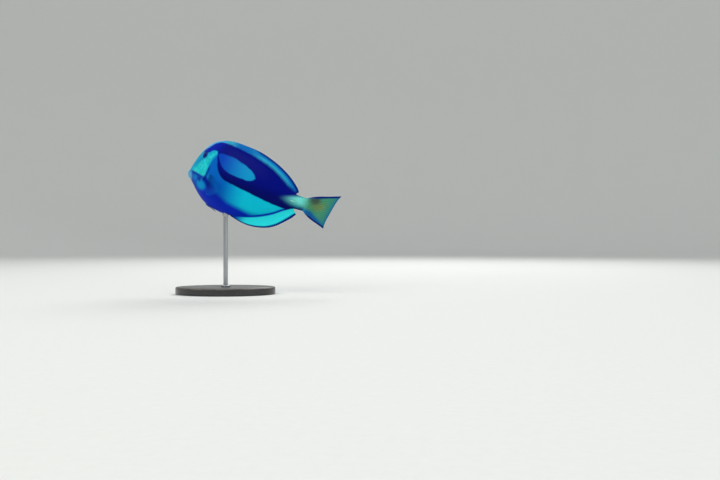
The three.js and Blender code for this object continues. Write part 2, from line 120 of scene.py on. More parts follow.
heading = curve(
    (-0.1, -38), (0.22, -38), (0.45, -23.5), (0.75, -12), (0.95, 4), (1.08, 36), (1.4, 36)
)
twist = curve((0.9, 0), (1.0, 0.15), (1.15, 1), (1.4, 1))
back = curve(
    (0, -0.074), (0.012, -0.048), (0.03, -0.006), (0.07, 0.078), (0.12, 0.146), (0.18, 0.193),
    (0.25, 0.217), (0.34, 0.219), (0.44, 0.212), (0.56, 0.196), (0.68, 0.163), (0.8, 0.11),
    (0.88, 0.07), (0.94, 0.051), (1, 0.052),
)
belly = curve(
    (0, -0.1), (0.012, -0.117), (0.03, -0.13), (0.07, -0.153), (0.12, -0.182), (0.18, -0.212),
    (0.25, -0.238), (0.34, -0.255), (0.44, -0.256), (0.56, -0.239), (0.68, -0.2), (0.8, -0.138),
    (0.88, -0.078), (0.94, -0.046), (1, -0.042),
)
half_width = curve(
    (0, 0.017), (0.02, 0.027), (0.06, 0.042), (0.12, 0.058), (0.18, 0.069), (0.26, 0.077),
    (0.36, 0.078), (0.5, 0.07), (0.65, 0.054), (0.8, 0.035), (0.9, 0.024), (1, 0.0145),
)
dorsal_height = curve(
    (0.268, 0.002), (0.29, 0.008), (0.33, 0.018), (0.42, 0.031), (0.56, 0.042), (0.75, 0.046),
    (0.84, 0.04), (0.89, 0.029), (0.918, 0.018),
)
anal_height = curve(
    (0.51, 0.004), (0.55, 0.02), (0.6, 0.038), (0.65, 0.052), (0.7, 0.06), (0.76, 0.065),
    (0.84, 0.058), (0.9, 0.046), (0.93, 0.034),
)
caudal_half_height = curve(
    (0, 0.047), (0.12, 0.064), (0.3, 0.084), (0.6, 0.11), (0.85, 0.128), (1, 0.139)
)
caudal_half_thickness = curve(
    (0, 0.0145), (0.08, 0.0115), (0.25, 0.006), (0.6, 0.0034), (1, 0.0021)
)
SECTION_POWER, FIN_SECTION_POWER, SECTION_ROUNDING = 2.2, 8, 0.62
SPINE_FROM, SPINE_TO, SPINE_STEPS, MIDDLE = -0.1, 1.4, 600, 0.45
DORSAL_FROM, DORSAL_TO, ANAL_FROM = 0.268, 0.918, 0.51
DORSAL_RAYS, STATIONS_PER_RAY, STATIONS_PAST_DORSAL = 46, 3, 3
RAY_STEP = (DORSAL_TO - DORSAL_FROM) / DORSAL_RAYS
ANAL_TO = DORSAL_TO + STATIONS_PAST_DORSAL / STATIONS_PER_RAY * RAY_STEP
ANAL_RAY_SLANT = 0.85
RAY_LEAN = (0.4, 0.6)
FIN_ROWS, FIN_START_RAMP, FIN_END_STEP = 14, 0.012, 0.0006
CAUDAL_MIDDLE, CAUDAL_LENGTH, CAUDAL_TIP_EXTRA, CAUDAL_TIP_POWER = 0.004, 0.212, 0.014, 4
CAUDAL_RAYS, POINTS_PER_RAY = 16, 8
HALF_RING = CAUDAL_RAYS * POINTS_PER_RAY
ROD_ENTRY = 0.472
SIDES = ((-1, "left"), (1, "right"))

# Places on the head and body, in the same fractions
EYE = (0.18, 0.086)
NOSTRILS = ((0.112, 0.083), (0.1295, 0.0935))
NOSTRIL_WIDTHS = (1.1, 1.0)
LIPS = dict(x=0.014, z=-0.097, long=0.0215, wide=0.024, high=0.035, lean=math.radians(28))
LIP_ROWS, MOUTH_ROWS, MOUTH_SLOPE = 17, 4, 0.1
GILL = dict(
    x=0.277, z=0.06, bow=1.13, level_from=0.0306, level_over=0.012,
    open=(-0.115, -0.085, 0.09, 0.11), upper=(0, 0.04), upper_share=0.4,
)
CHEEK_FOLD_ALONG = (0.035, 0.07, 0.245, 0.262)
PREOPERCLE = dict(x=0.216, z=0.005, bow=2.2, up=(-0.06, -0.035, 0.035, 0.068))
JAW_FOLD = dict(
    x=0.012, z=-0.1, squash=0.9, radius=0.04, finer=1.3, share=0.7,
    along=(0.028, 0.042), up=(-0.142, -0.125, -0.085, -0.062),
)
PECTORAL = dict(
    x=0.292, z=-0.048, root_half=0.026, down=34, out=15, fan_up=20, fan_down=30,
    long_ray=0.2, short_ray=0.11, camber=0.016, rays=15, root_inside=0.012,
    lobe=(0.017, 0.036),
)
PELVIC = dict(
    front=0.298, rear=0.326, apart=0.014, spread=0.012, down=(10, 4),
    long_ray=0.115, short_ray=0.065, rays=6, root_inside=0.02,
)
SPINE = dict(x=0.92, z=0.003, long=0.046, high=0.0052, thick=0.0036)

# Sizes of the relief, in millimetres
EYE_RINGS = (
    7.2, 6.6, 6.1, 5.6, 5.2, 4.85, 4.55, 4.3, 4.1, 3.96, 3.87, 3.78, 3.7, 3.62, 3.5, 3.2, 2.4
)
NOSTRIL_RINGS = (1.18, 0.95, 0.8, 0.68, 0.58, 0.5, 0.43, 0.36, 0.26)
EYE_GROOVE = dict(
    rear=(0.147, 0.067), front=(0.1, 0.05), deep=0.34, wide=0.42, rim=0.1, rim_at=1.1, rim_wide=0.5
)
PECTORAL_LOBE_PROUD = 0.75
SPINE_SLOT = (4.4, 1.3)
RAY_BASES = dict(inset=3.2, wide=1.8, proud=0.04)

ROD_ENTRY_POINT = [[ROD_ENTRY, 0, float(belly(ROD_ENTRY))]]


# What a user would change


def length(name, description, default):
    return FloatProperty(
        name=name, description=description, default=default, unit="LENGTH", precision=5
    )


def angle(name, description, degrees):
    return FloatProperty(
        name=name, description=description, default=math.radians(degrees), subtype="ANGLE"
    )


def amount(name, description, default):
    return FloatProperty(name=name, description=description, default=default, min=0)


def linear(*levels):
    """Screen levels from 0 to 255 as the linear numbers that a shader reads."""
    return tuple(
        v / 255 / 12.92 if v <= 10 else ((v / 255 + 0.055) / 1.055) ** 2.4 for v in levels
    )


def colour(name, description, *levels):
    return FloatVectorProperty(
        name=name, description=description, default=linear(*levels), subtype="COLOR",
        size=3, min=0, max=1,
    )


class TangSizes(bpy.types.PropertyGroup):
    """Sizes of the fish"""

    standard_length: length("Standard length", "Snout to tail base", 0.155)
    middle_height: length("Middle height", "Height of the body's middle above the table", 0.125)
    pitch: angle("Pitch", "How far the nose points up", 19.5)
    roll: angle("Roll", "How far the back leans towards the viewer", 7)
    tail_twist: angle("Tail twist", "How far the tail fin turns about the body", 18)
    eye_radius: length("Eye radius", "Half the eyeball's width", 0.0045)
    eye_half_depth: length("Eye half depth", "Half the eyeball's depth", 0.003)
    eye_sink: length("Eye sink", "How deep the eyeball's centre lies under the skin", 0.0016)
    fin_root: length("Fin root", "Half a fin's thickness at its root", 0.00075)
    fin_edge: length("Fin edge", "Half a fin's thickness at its free edge", 0.0003)
    mouth_slit: length("Mouth slit", "Height of the open mouth", 0.0006)


class TangPaint(bpy.types.PropertyGroup):
    """Colours of the fish"""

    azure: colour("Azure", "Shoulder and gill cover", 1, 98, 188)
    cyan: colour("Cyan", "Lower flank", 6, 190, 214)
    turquoise: colour("Turquoise", "Cheek", 44, 208, 216)
    cheek_green: colour("Cheek green", "Greener flecks of the cheek", 18, 186, 190)
    snout: colour("Snout", "Snout and forehead below the rim", 14, 158, 198)
    throat: colour("Throat", "Bright patch of the throat", 1, 138, 198)
    jaw: colour("Jaw", "Below the groove of the cheek", 2, 72, 174)
    # Painted shade: deep blue laid on the belly's underside and along its keel, where shade falls
    # under the fish
    belly_shade_blue: colour("Royal blue", "Belly", 0, 36, 176)
    band: colour("Head band", "Band over the eye", 0, 30, 162)
    navy: colour("Navy", "Palette-shaped mark", 0, 10, 118)
    deep_navy: colour("Deep navy", "Palette-shaped mark below its hole", 0, 7, 92)
    hole_front: colour("Hole, front", "Oval inside the palette, front", 1, 66, 178)
    hole_rear: colour("Hole, rear", "Oval inside the palette, rear", 14, 146, 200)
    rim: colour("Forehead rim", "Pale line along the forehead", 84, 166, 228)
    dorsal_front: colour("Dorsal fin, front", "First rays of the dorsal fin", 58, 172, 206)
    dorsal: colour("Dorsal fin, middle", "Bright band of the dorsal fin, middle", 12, 112, 194)
    dorsal_rear: colour("Dorsal fin, rear", "Bright band of the dorsal fin, rear", 50, 190, 226)
    anal: colour("Anal fin", "Bright band of the anal fin", 40, 230, 236)
    margin: colour("Fin margin", "Dark edge of the fins", 1, 38, 124)
    pale: colour("Pale yellow", "Tail base", 110, 216, 206)
    yellow: colour("Yellow", "Tail fin", 74, 156, 118)
    gold: colour("Gold", "Warm middle of the tail fin", 112, 146, 90)
    olive: colour("Olive", "Dusky top of the tail fin", 74, 96, 84)
    teal: colour("Teal", "Rear of the tail fin", 40, 126, 140)
    tail_blue: colour("Tail blue", "Lower front of the tail fin", 18, 104, 172)
    lips: colour("Lips", "Lips", 112, 176, 216)
    pectoral: colour("Pectoral fin", "Paired fins", 1, 84, 184)
    # Painted shade: laid through the shade mask in the cheek's groove, behind the gill opening and
    # below the pectoral fin's root
    fold: colour("Fold", "Dark folds behind the jaw and below the cheek", 0, 20, 142)


class TangStand(bpy.types.PropertyGroup):
    """Sizes and colours of the stand"""

    bevel: length("Bevel", "Width of the bevel round the top of the base", 0.0015)
    groove: length("Groove", "Width of the fine groove in the top", 0.0009)
    lacquer: colour("Lacquer", "Base", 30, 29, 30)
    worn: colour("Worn lacquer", "Base where its edges are rubbed", 92, 84, 76)
    steel: colour("Steel", "Rod and collars", 176, 178, 182)


class TangStage(bpy.types.PropertyGroup):
    """Camera, floor and lights"""

    distance: length("Camera distance", "From the fish's middle to the camera, level", 0.8232)
    focal: FloatProperty(
        name="Focal length", description="In pixels of the picture", default=760
    )
    picture_width: IntProperty(name="Picture width", description="In pixels", default=720)
    picture_height: IntProperty(name="Picture height", description="In pixels", default=480)
    middle_column: FloatProperty(
        name="Fish column", description="Where the fish's middle shows, in pixels", default=234.43
    )
    middle_row: FloatProperty(
        name="Fish row", description="Where the fish's middle shows, in pixels", default=178.86
    )
    floor: colour("Floor", "Floor and backdrop", 226, 226, 222)
    key: amount("Key light", "Watts", 17)
    fill: amount("Fill light", "Watts", 5)
    back_light: amount("Back light", "Watts", 12)
    world: amount("World light", "Strength of the even light from all round", 0.62)


# The straight body


def middle_of(x):
    return (back(x) + belly(x)) / 2


def half_height_of(x):
    return (back(x) - belly(x)) / 2


def roundness(t, power=SECTION_POWER):
    return (1 - np.clip(np.abs(t), 0, 1) ** power) ** SECTION_ROUNDING


def flank(x, z):
    """Half the body's thickness at a place on its side."""
    return half_width(x) * roundness((z - middle_of(x)) / half_height_of(x))


def on_flank(x, z):
    """Points on the right flank."""
    return np.stack([x, flank(x, z), z], -1)


def out_of_flank(x, z):
    """Unit directions out of the right flank."""
    along = on_flank(x + SLOPE_STEP, z) - on_flank(x - SLOPE_STEP, z)
    up = on_flank(x, z + SLOPE_STEP) - on_flank(x, z - SLOPE_STEP)
    out = np.cross(up, along)
    out /= np.linalg.norm(out, axis=-1, keepdims=True)
    return out * np.where(out[..., 1:2] < 0, -1, 1)


def gill_line(z):
    """The x of the gill opening, which runs on level below the throat."""
    square = (z - GILL["z"]) ** 2
    beyond = np.maximum(square - GILL["level_from"], 0)
    levelled = GILL["level_over"] * (1 - np.exp(-beyond / GILL["level_over"]))
    return GILL["x"] - GILL["bow"] * (np.minimum(square, GILL["level_from"]) + levelled)


def axis_distance(x, z, centre, scale):
    """Distance from the line that leaves the flank at a centre, at the fish's real scale."""
    cx, cz = np.array(centre[0]), np.array(centre[1])
    away = (on_flank(x, z) - on_flank(cx, cz)) * scale
    out = out_of_flank(cx, cz)
    across = away - (away @ out)[..., None] * out
    return np.linalg.norm(across, axis=-1)


orbit = curve(
    (0, -2.6), (2.9, -2.4), (3.45, -1.5), (3.62, -0.6), (3.78, 0.1), (3.98, 0.46), (4.3, 0.56),
    (4.9, 0.4), (5.5, 0.12), (6.1, 0.02), (7.0, 0),
)
lip_roll = curve(
    (0, 1.0), (0.2, 0.35), (0.7, -0.3), (1.3, -0.22), (2.0, 0.12), (2.7, 0.1), (4, 0)
)
nostril = curve((0, -0.9), (0.3, -0.7), (0.42, 0), (0.55, 0.2), (0.72, 0.16), (1.15, 0))
gill_edge = curve(
    (-9, 0), (-4, 0.2), (-1.4, 0.42), (-0.6, 0.4), (-0.25, 0.1), (0, -0.6), (0.3, -0.8),
    (0.6, -0.4), (1.1, -0.1), (2.2, 0),
)
cheek_line = curve(
    (0.03, -0.07), (0.054, -0.062), (0.15, -0.062), (0.24, -0.064), (0.27, -0.067), (0.3, -0.077),
    (0.335, -0.094), (0.367, -0.112),
)
cheek_rear = curve(
    (-0.06, 0.256), (-0.027, 0.26), (0.003, 0.262), (0.031, 0.261), (0.062, 0.263), (0.092, 0.274),
    (0.13, 0.293), (0.15, 0.292),
)
cheek_fold = curve(
    (-5, 0), (-2, -0.18), (-0.7, -0.42), (0, -0.45), (0.7, -0.1), (1.5, 0.14), (5, 0)
)
preopercle_edge = curve(
    (-4, 0), (-1.5, 0.08), (-0.5, 0.14), (0, -0.12), (0.5, -0.24), (1.4, -0.08), (3, 0)
)
spine_slot = curve((0, -0.42), (0.8, -0.4), (1.0, -0.1), (1.2, 0.08), (1.7, 0))


def segment_distance(x, z, first, last):
    """Distance to a straight stroke between two places on the flank."""
    ax, az = first
    dx, dz = last[0] - ax, last[1] - az
    share = np.clip(((x - ax) * dx + (z - az) * dz) / (dx * dx + dz * dz), 0, 1)
    return np.hypot(x - ax - share * dx, z - az - share * dz)


def head_relief(x, z, scale):
    """Folds of the head: gill opening, cheek, edge of the cheek bone, eye groove and jaw."""
    opening = within(z, *GILL["open"]) * lerp(1, GILL["upper_share"], smooth(z, *GILL["upper"]))
    gill = gill_edge((x - gill_line(z)) * scale) * opening
    cheek = cheek_fold((z - cheek_line(x)) * scale) * within(x, *CHEEK_FOLD_ALONG)
    from_bone = x - PREOPERCLE["x"] + PREOPERCLE["bow"] * (z - PREOPERCLE["z"]) ** 2
    bone = preopercle_edge(from_bone * scale) * within(z, *PREOPERCLE["up"])
    groove = EYE_GROOVE
    off = segment_distance(x, z, groove["rear"], groove["front"]) * scale
    rim = groove["rim"] * bell(off, groove["rim_at"], groove["rim_wide"])
    eye_groove = rim - groove["deep"] * bell(off, 0, groove["wide"])
    fold = JAW_FOLD
    off = (np.hypot((x - fold["x"]) * fold["squash"], z - fold["z"]) - fold["radius"]) * scale
    jaw = cheek_fold(off * fold["finer"]) * fold["share"]
    jaw = jaw * smooth(x, *fold["along"]) * within(z, *fold["up"])
    return gill + cheek + bone + eye_groove + jaw


def ray_bases(x, z, scale):
    """Fine ridges on the flank in line with the rays of the dorsal and anal fins."""
    inset, wide = RAY_BASES["inset"], RAY_BASES["wide"]
    wave = np.cos(2 * math.pi * (x - DORSAL_TO) / RAY_STEP)
    below_dorsal = bell((back(x) - z) * scale, inset, wide) * smooth(x, 0.33, 0.4)
    above_anal = bell((z - belly(x)) * scale, inset, wide) * smooth(x, 0.56, 0.62)
    return RAY_BASES["proud"] * wave * (below_dorsal + above_anal) * falls(x, 0.84, 0.9)


def oval_reach(x, z, centre, radii):
    """Distance from a centre as a share of an oval's radii."""
    return np.hypot((x - centre[0]) / radii[0], (z - centre[1]) / radii[1])


def relief(x, z, size):
    """How far the skin stands out of the plain flank, in millimetres."""
    scale = size.standard_length / MM
    up = orbit(axis_distance(x, z, EYE, scale))
    for place, wide in zip(NOSTRILS, NOSTRIL_WIDTHS):
        up = up + nostril(axis_distance(x, z, place, scale) / wide)
    lobe = oval_reach(x, z, (PECTORAL["x"], PECTORAL["z"]), PECTORAL["lobe"])
    up = up + PECTORAL_LOBE_PROUD * falls(lobe, 0.2, 1)
    slot = oval_reach(x, z, (SPINE["x"], SPINE["z"]), np.array(SPINE_SLOT) / scale)
    return up + spine_slot(slot) + head_relief(x, z, scale) + ray_bases(x, z, scale)


# The skin's stations and rings


def warp(station, z):
    """How far a ring leaves its station, to follow the lips and the gill opening."""
    lips = -math.tan(LIPS["lean"]) * (z - LIPS["z"]) * falls(station, 0.02, 0.1)
    return lips + (gill_line(z) - GILL["x"]) * within(station, 0.15, 0.262, 0.3, 0.44)


def body_stations():
    """Stations close together on the head, closer at the gill opening, then in step with the rays."""
    behind_lips = [0.0225, 0.0255, 0.029]
    head = np.arange(0.0325, 0.268, 0.0031)
    gill = np.linspace(0.2705, 0.2935, 17)
    step = RAY_STEP / STATIONS_PER_RAY
    count = int((DORSAL_TO - gill[-1]) / step)
    trunk = [DORSAL_TO - step * i for i in range(count - 1, -1, -1)]
    past_dorsal = [DORSAL_TO + step * i for i in range(1, STATIONS_PAST_DORSAL + 1)]
    stalk = np.linspace(ANAL_TO + 0.005, 1.0, 17)
    fins = [*trunk, DORSAL_TO + FIN_END_STEP, *past_dorsal, ANAL_TO + FIN_END_STEP]
    return np.concatenate([behind_lips, head, gill, fins, stalk])


def ridge(phase, width=0.17):
    """1 on each ray and 0 between rays."""
    return bell(phase, np.round(phase), width)


def fin_presence(x, start, end, height):
    """A ridge fin's height, which is 0 before its start and after its end."""
    half = FIN_START_RAMP / 2
    return height(x) * (x <= end + 1e-6) * smooth(x, start - half, start + half)


def crowding(x, start, end):
    """1 where a fin stands on the ridge and near it, 0 well away from it."""
    return within(x, start - 0.09, start - 0.01, end + 0.004, end + 0.06)


def fin_sheet(size, height_share, station, phase, end):
    """Half the thickness of a ridge fin, thicker at its rays."""
    half = lerp(size.fin_root, size.fin_edge, height_share) / size.standard_length
    web = lerp(0.92, 0.6, smooth(height_share, 0, 0.25))
    into_edge = (np.clip(height_share - 0.93, 0, 1) / 0.07) ** 2
    edge = np.sqrt(np.clip(1 - into_edge, 0, 1))
    ends = smooth(end - station, -0.002, 0.006) * 0.75 + 0.25
    return half * (web + (1 - web) * ridge(phase, 0.28)) * edge * ends


def plain_sections(stations):
    """Finely sampled half rings x, y and z, with t from 1 at the back to -1 at the belly."""
    samples, rounds, pull = 801, 24, 0.45
    column = stations[:, None]
    t = np.cos(np.linspace(0, math.pi, samples))[None, :] * np.ones_like(column)
    x = column + 0 * t
    for _ in range(rounds):
        z = middle_of(x) + t * half_height_of(x)
        x = lerp(x, column + warp(column, z), pull)
    return x, half_width(x) * roundness(t), middle_of(x) + t * half_height_of(x), t


def ring_places(stations, root):
    """Where along its half ring each point of the body lies, as places x and shares t.

    The points crowd together on the back and belly, where the roots of the fins stand.
    """
    x, y, z, t = plain_sections(stations)
    steps = np.sqrt(np.diff(x) ** 2 + np.diff(y) ** 2 + np.diff(z) ** 2)
    arc = np.concatenate([np.zeros((len(x), 1)), np.cumsum(steps, 1)], 1)
    arc /= arc[:, -1:]
    dorsal_crowd = crowding(stations, DORSAL_FROM, DORSAL_TO)
    anal_crowd = crowding(stations, ANAL_FROM, ANAL_TO)
    places = np.empty((len(stations), HALF_RING + 1))
    shares = np.empty_like(places)
    even, near = FIN_ROWS / HALF_RING, 300
    knots = [0, FIN_ROWS, HALF_RING - FIN_ROWS, HALF_RING]
    for i in range(len(stations)):
        at_root = np.interp(root, y[i, :near], arc[i, :near])
        top = lerp(even, at_root, dorsal_crowd[i])
        at_root = 1 - np.interp(-root, -y[i, -near:], arc[i, -near:])
        low = lerp(even, at_root, anal_crowd[i])
        cuts = np.interp(np.arange(HALF_RING + 1), knots, [0, top, 1 - low, 1])
        places[i] = np.interp(cuts, arc[i], x[i])
        shares[i] = np.interp(cuts, arc[i], t[i])
    level = smooth(stations, 0.94, 1.0)[:, None]
    return places, lerp(shares, np.linspace(1, -1, HALF_RING + 1)[None, :], level)


def body_rings(size):
    """Right-hand half rings of the body with its dorsal and anal fins."""
    stations = body_stations()
    column = stations[:, None]
    places, shares = ring_places(stations, size.fin_root / size.standard_length * 0.95)
    thick = half_width(places) * roundness(shares)
    base = np.stack([places, thick, middle_of(places) + shares * half_height_of(places)], -1)
    base[:, [0, -1], 1] = 0

    skin = base.copy()
    reach = np.zeros_like(places)
    phase = np.zeros_like(places)
    rows = (1 - (np.arange(FIN_ROWS + 1) / FIN_ROWS) ** 1.5)[None, :]
    top, low = np.arange(FIN_ROWS + 1), HALF_RING - np.arange(FIN_ROWS + 1)
    for where, sign, start, end, height, slant in (
        (top, 1, DORSAL_FROM, DORSAL_TO, dorsal_height, 0),
        (low, -1, ANAL_FROM, ANAL_TO, anal_height, ANAL_RAY_SLANT),
    ):
        tall = fin_presence(column, start, end, height)
        scallop = 1 + 0.02 * ridge((column - end) / RAY_STEP)
        rise = tall * rows * scallop
        lean = RAY_LEAN[0] + RAY_LEAN[1] * column
        present = smooth(tall, 0, 0.004)
        phase[:, where] = (column - end - slant * rise) / RAY_STEP
        sheet = fin_sheet(size, rows, column, phase[:, where], end)
        skin[:, where, 0] += lean * rise
        skin[:, where, 2] += sign * rise
        skin[:, where, 1] = lerp(skin[:, where, 1], sheet, present * (rows > 0))
        reach[:, where] = np.maximum(reach[:, where], rows * (tall > 1e-4))
    return base, skin, reach, phase


def caudal_rings():
    """Right-hand half rings of the tail fin, which carries on from the last body ring."""
    s = np.concatenate([[0.012, 0.026, 0.042], np.linspace(0.06, 0.97, 42), [0.985, 0.995, 1.0]])
    s = s[:, None]
    t = np.linspace(1, -1, HALF_RING + 1)[None, :]
    phase = CAUDAL_RAYS * (t + 1) / 2 - 0.5
    offset = np.abs(phase - np.round(phase))
    rays = bell(offset, 0.22 * smooth(s, 0.3, 0.75), 0.13)
    power = lerp(SECTION_POWER, FIN_SECTION_POWER, np.clip(2.5 * s, 0, 1))
    web = lerp(1.0, 0.55, smooth(s, 0.05, 0.3))
    edge = smooth(np.abs(t), 0.9, 0.97)
    body = lerp(web + (1 - web) * rays, 1, edge)
    tips = CAUDAL_TIP_EXTRA * np.abs(t) ** CAUDAL_TIP_POWER + 0.0012 * rays * (s > 0.9)
    x = 1 + s * (CAUDAL_LENGTH + tips)
    y = caudal_half_thickness(s) * roundness(t, power) * body
    y = y * lerp(1, 0.6, smooth(s, 0.97, 1.0))
    y[:, [0, -1]] = 0
    z = lerp(middle_of(1), CAUDAL_MIDDLE, smooth(s, 0, 0.1)) + t * caudal_half_height(s)
    return s, np.stack([x, y, z], -1)


def lip_rings(size, outer):
    """Right-hand half rings from inside the mouth, over both lips, to the crease behind them."""
    theta = np.linspace(math.pi / 2, -math.pi / 2, HALF_RING + 1)
    turn = LIPS["lean"]
    high = np.array([-math.sin(turn), 0, math.cos(turn)])
    fore = np.array([-math.cos(turn), 0, -math.sin(turn)])
    aside = np.array([0, 1, 0])
    centre = np.array([LIPS["x"], 0, LIPS["z"]])
    slit = size.mouth_slit / 2 / size.standard_length
    back_along = np.array([1, 0, -MOUTH_SLOPE])
    slope = (back_along @ high) / (back_along @ fore)
    corner = 0.93 * LIPS["wide"]

    def front(y, up):
        inside = 1 - (y / LIPS["wide"]) ** 2 - (up / LIPS["high"]) ** 2
        return LIPS["long"] * np.sqrt(np.clip(inside, 0, 1))

    def ring(wide, tall, settle, sink):
        y = wide * np.cos(theta)
        mouth = slope * front(y, 0 * y)
        up = lerp(mouth, 0, settle) + tall * np.sin(theta)
        forward = front(y, up) - sink
        return centre + up[:, None] * high + forward[:, None] * fore + y[:, None] * aside

    hollow = ((0.022, 0.4, 1.2), (0.019, 0.7, 2.2), (0.014, 0.82, 2.0), (0.009, 0.9, 1.4))
    rings = [ring(corner * wide, slit * tall, 0, depth) for depth, wide, tall in hollow]
    for step in np.linspace(0, 1, LIP_ROWS) ** 1.2:
        grown = lerp(slit, LIPS["high"] * 0.985, step)
        wide = lerp(corner, LIPS["wide"] * 0.985, step ** 0.7)
        from_slit = (grown - slit) * size.standard_length / MM
        sink = lip_roll(from_slit) * MM / size.standard_length
        rings.append(ring(wide, grown, step ** 1.5, sink))
    last = rings[-1]
    crease = (last + outer) / 2
    inward = centre - crease
    inward[:, 1] = -crease[:, 1]
    inward /= np.linalg.norm(inward, axis=1, keepdims=True)
    crease += inward * 0.0034
    rings.append(crease)
    rings = np.array(rings)
    rings[:, [0, -1], 1] = 0
    return rings


class Shell:
    """The right half of the skin: points, faces and what each point belongs to."""

    def __init__(self):
        self.base, self.skin, self.seam, self.kind = [], [], [], []
        self.reach, self.ray, self.quads, self.corners = [], [], [], []

    def add_points(self, base, skin, seam, kind, reach, ray):
        """Adds points and returns their numbers. seam says which lie in the plane of symmetry."""
        first = sum(len(part) for part in self.base)
        count = len(base)
        self.base.append(base)
        self.skin.append(skin)
        for store, value in (
            (self.seam, seam), (self.kind, kind), (self.reach, reach), (self.ray, ray)
        ):
            store.append(np.broadcast_to(value, count).copy())
        return first + np.arange(count)

    def close(self):
        """Turns the lists of parts into single arrays."""
        for name in ("base", "skin", "seam", "kind", "reach", "ray"):
            setattr(self, name, np.concatenate(getattr(self, name)))


BODY, DORSAL, ANAL, CAUDAL, LIP, MOUTH, PECTORAL_FIN, PELVIC_FIN = range(8)


def grid_quads(numbers):
    a, b = numbers[:-1, :-1], numbers[:-1, 1:]
    c, d = numbers[1:, 1:], numbers[1:, :-1]
    return np.stack([a, b, c, d], -1).reshape(-1, 4)


def dress(base, size):
    """Raises points of the plain flank by its relief."""
    x, z = base[:, 0], base[:, 2]
    t = (z - middle_of(x)) / half_height_of(x)
    height = relief(x, z, size) * falls(np.abs(t), 0.93, 0.985) * MM / size.standard_length
    return base + out_of_flank(x, z) * height[:, None]


def polar_patch(shell, centre, radii, size):
    """Replaces the grid round a place on the flank with rings, so that its rim is round."""
    scale = size.standard_length / MM
    near = np.full(len(shell.base), np.inf)
    body = shell.kind == BODY
    near[body] = axis_distance(shell.base[body, 0], shell.base[body, 2], centre, scale)
    inside = near[shell.quads].min(1) < radii[0]
    edges = {
        (quad[k], quad[(k + 1) % 4]) for quad in shell.quads[inside].tolist() for k in range(4)
    }
    following = {a: b for a, b in edges if (b, a) not in edges}
    start = min(following)
    loop = [start]
    while following[loop[-1]] != start:
        loop.append(following[loop[-1]])
    loop = np.array(loop)
    shell.quads = shell.quads[~inside]

    away = shell.base[loop][:, [0, 2]] - centre
    turn = np.unwrap(np.arctan2(away[:, 1], away[:, 0]))
    even = turn[0] + np.sign(turn[-1] - turn[0]) * 2 * math.pi * np.arange(len(loop)) / len(loop)
    even += (turn - even).mean()

    def ring(radius, share):
        way = lerp(turn, even, share)
        spot = np.stack([np.cos(way), np.sin(way)], 1) * radius / scale
        for _ in range(5):
            found = axis_distance(centre[0] + spot[:, 0], centre[1] + spot[:, 1], centre, scale)
            spot *= (radius / found)[:, None]
        base = on_flank(centre[0] + spot[:, 0], centre[1] + spot[:, 1])
        return base, dress(base, size)

    parts = [loop]
    for k, radius in enumerate(radii[1:], 1):
        base, skin = ring(radius, lerp(0.55, 1, k / len(radii)))
        first = len(shell.base)
        shell.base = np.concatenate([shell.base, base])
        shell.skin = np.concatenate([shell.skin, skin])
        parts.append(first + np.arange(len(loop)))
    base = on_flank(np.array([centre[0]]), np.array([centre[1]]))
    shell.base = np.concatenate([shell.base, base])
    shell.skin = np.concatenate([shell.skin, dress(base, size)])
    extra = len(shell.base) - len(shell.kind)
    for name in ("seam", "kind", "reach", "ray"):
        store = getattr(shell, name)
        setattr(shell, name, np.concatenate([store, np.zeros(extra, store.dtype)]))
    for outer, inner in zip(parts, parts[1:]):
        quads = np.stack([outer, np.roll(outer, -1), np.roll(inner, -1), inner], 1)
        shell.quads = np.concatenate([shell.quads, quads])
    last, tip = parts[-1], len(shell.base) - 1
    shell.corners += [(a, b, tip) for a, b in zip(last, np.roll(last, -1))]


def right_half(size):
    """The right half of the skin of head, body and tail, with rims round eye and nostrils."""
    shell = Shell()
    base, skin, reach, ray = body_rings(size)
    dressed = dress(base.reshape(-1, 3), size).reshape(base.shape)
    plain = reach == 0
    skin[plain] = dressed[plain]
    lips = lip_rings(size, skin[0])
    depth, caudal = caudal_rings()
    across = skin.shape[1]
    seam = np.zeros(across, bool)
    seam[[0, -1]] = True

    numbers = []
    for i, ring in enumerate(lips):
        kind = MOUTH if i < MOUTH_ROWS else LIP
        numbers.append(shell.add_points(ring, ring, seam, kind, 0, 0))
    for i in range(len(base)):
        kind = np.where(reach[i] > 0, DORSAL, BODY)
        kind[across // 2:] = np.where(reach[i, across // 2:] > 0, ANAL, BODY)
        marks = np.where((reach[i] > 0)[:, None], skin[i], base[i])
        numbers.append(shell.add_points(marks, skin[i], seam, kind, reach[i], ray[i]))
    phase = CAUDAL_RAYS * (np.linspace(1, -1, across) + 1) / 2 - 0.5
    for s, ring in zip(depth[:, 0], caudal):
        numbers.append(shell.add_points(ring, ring, seam, CAUDAL, max(s, 0.01), phase))
    edge = caudal[-1] * np.array([1, 0, 1]) + np.array([0.0012, 0, 0])
    numbers.append(shell.add_points(edge, edge, True, CAUDAL, 1, phase))
    throat = lips[0].mean(0) * np.array([1, 0, 1]) + np.array([0.003, 0, 0])
    tip = shell.add_points(throat[None, :], throat[None, :], True, MOUTH, 0, 0)[0]
    shell.close()
    shell.quads = grid_quads(np.array(numbers))
    first = numbers[0]
    shell.corners = [(first[j + 1], first[j], tip) for j in range(across - 1)]

    polar_patch(shell, EYE, EYE_RINGS, size)
    for place, wide in zip(NOSTRILS, NOSTRIL_WIDTHS):
        polar_patch(shell, place, [wide * radius for radius in NOSTRIL_RINGS], size)
    return shell


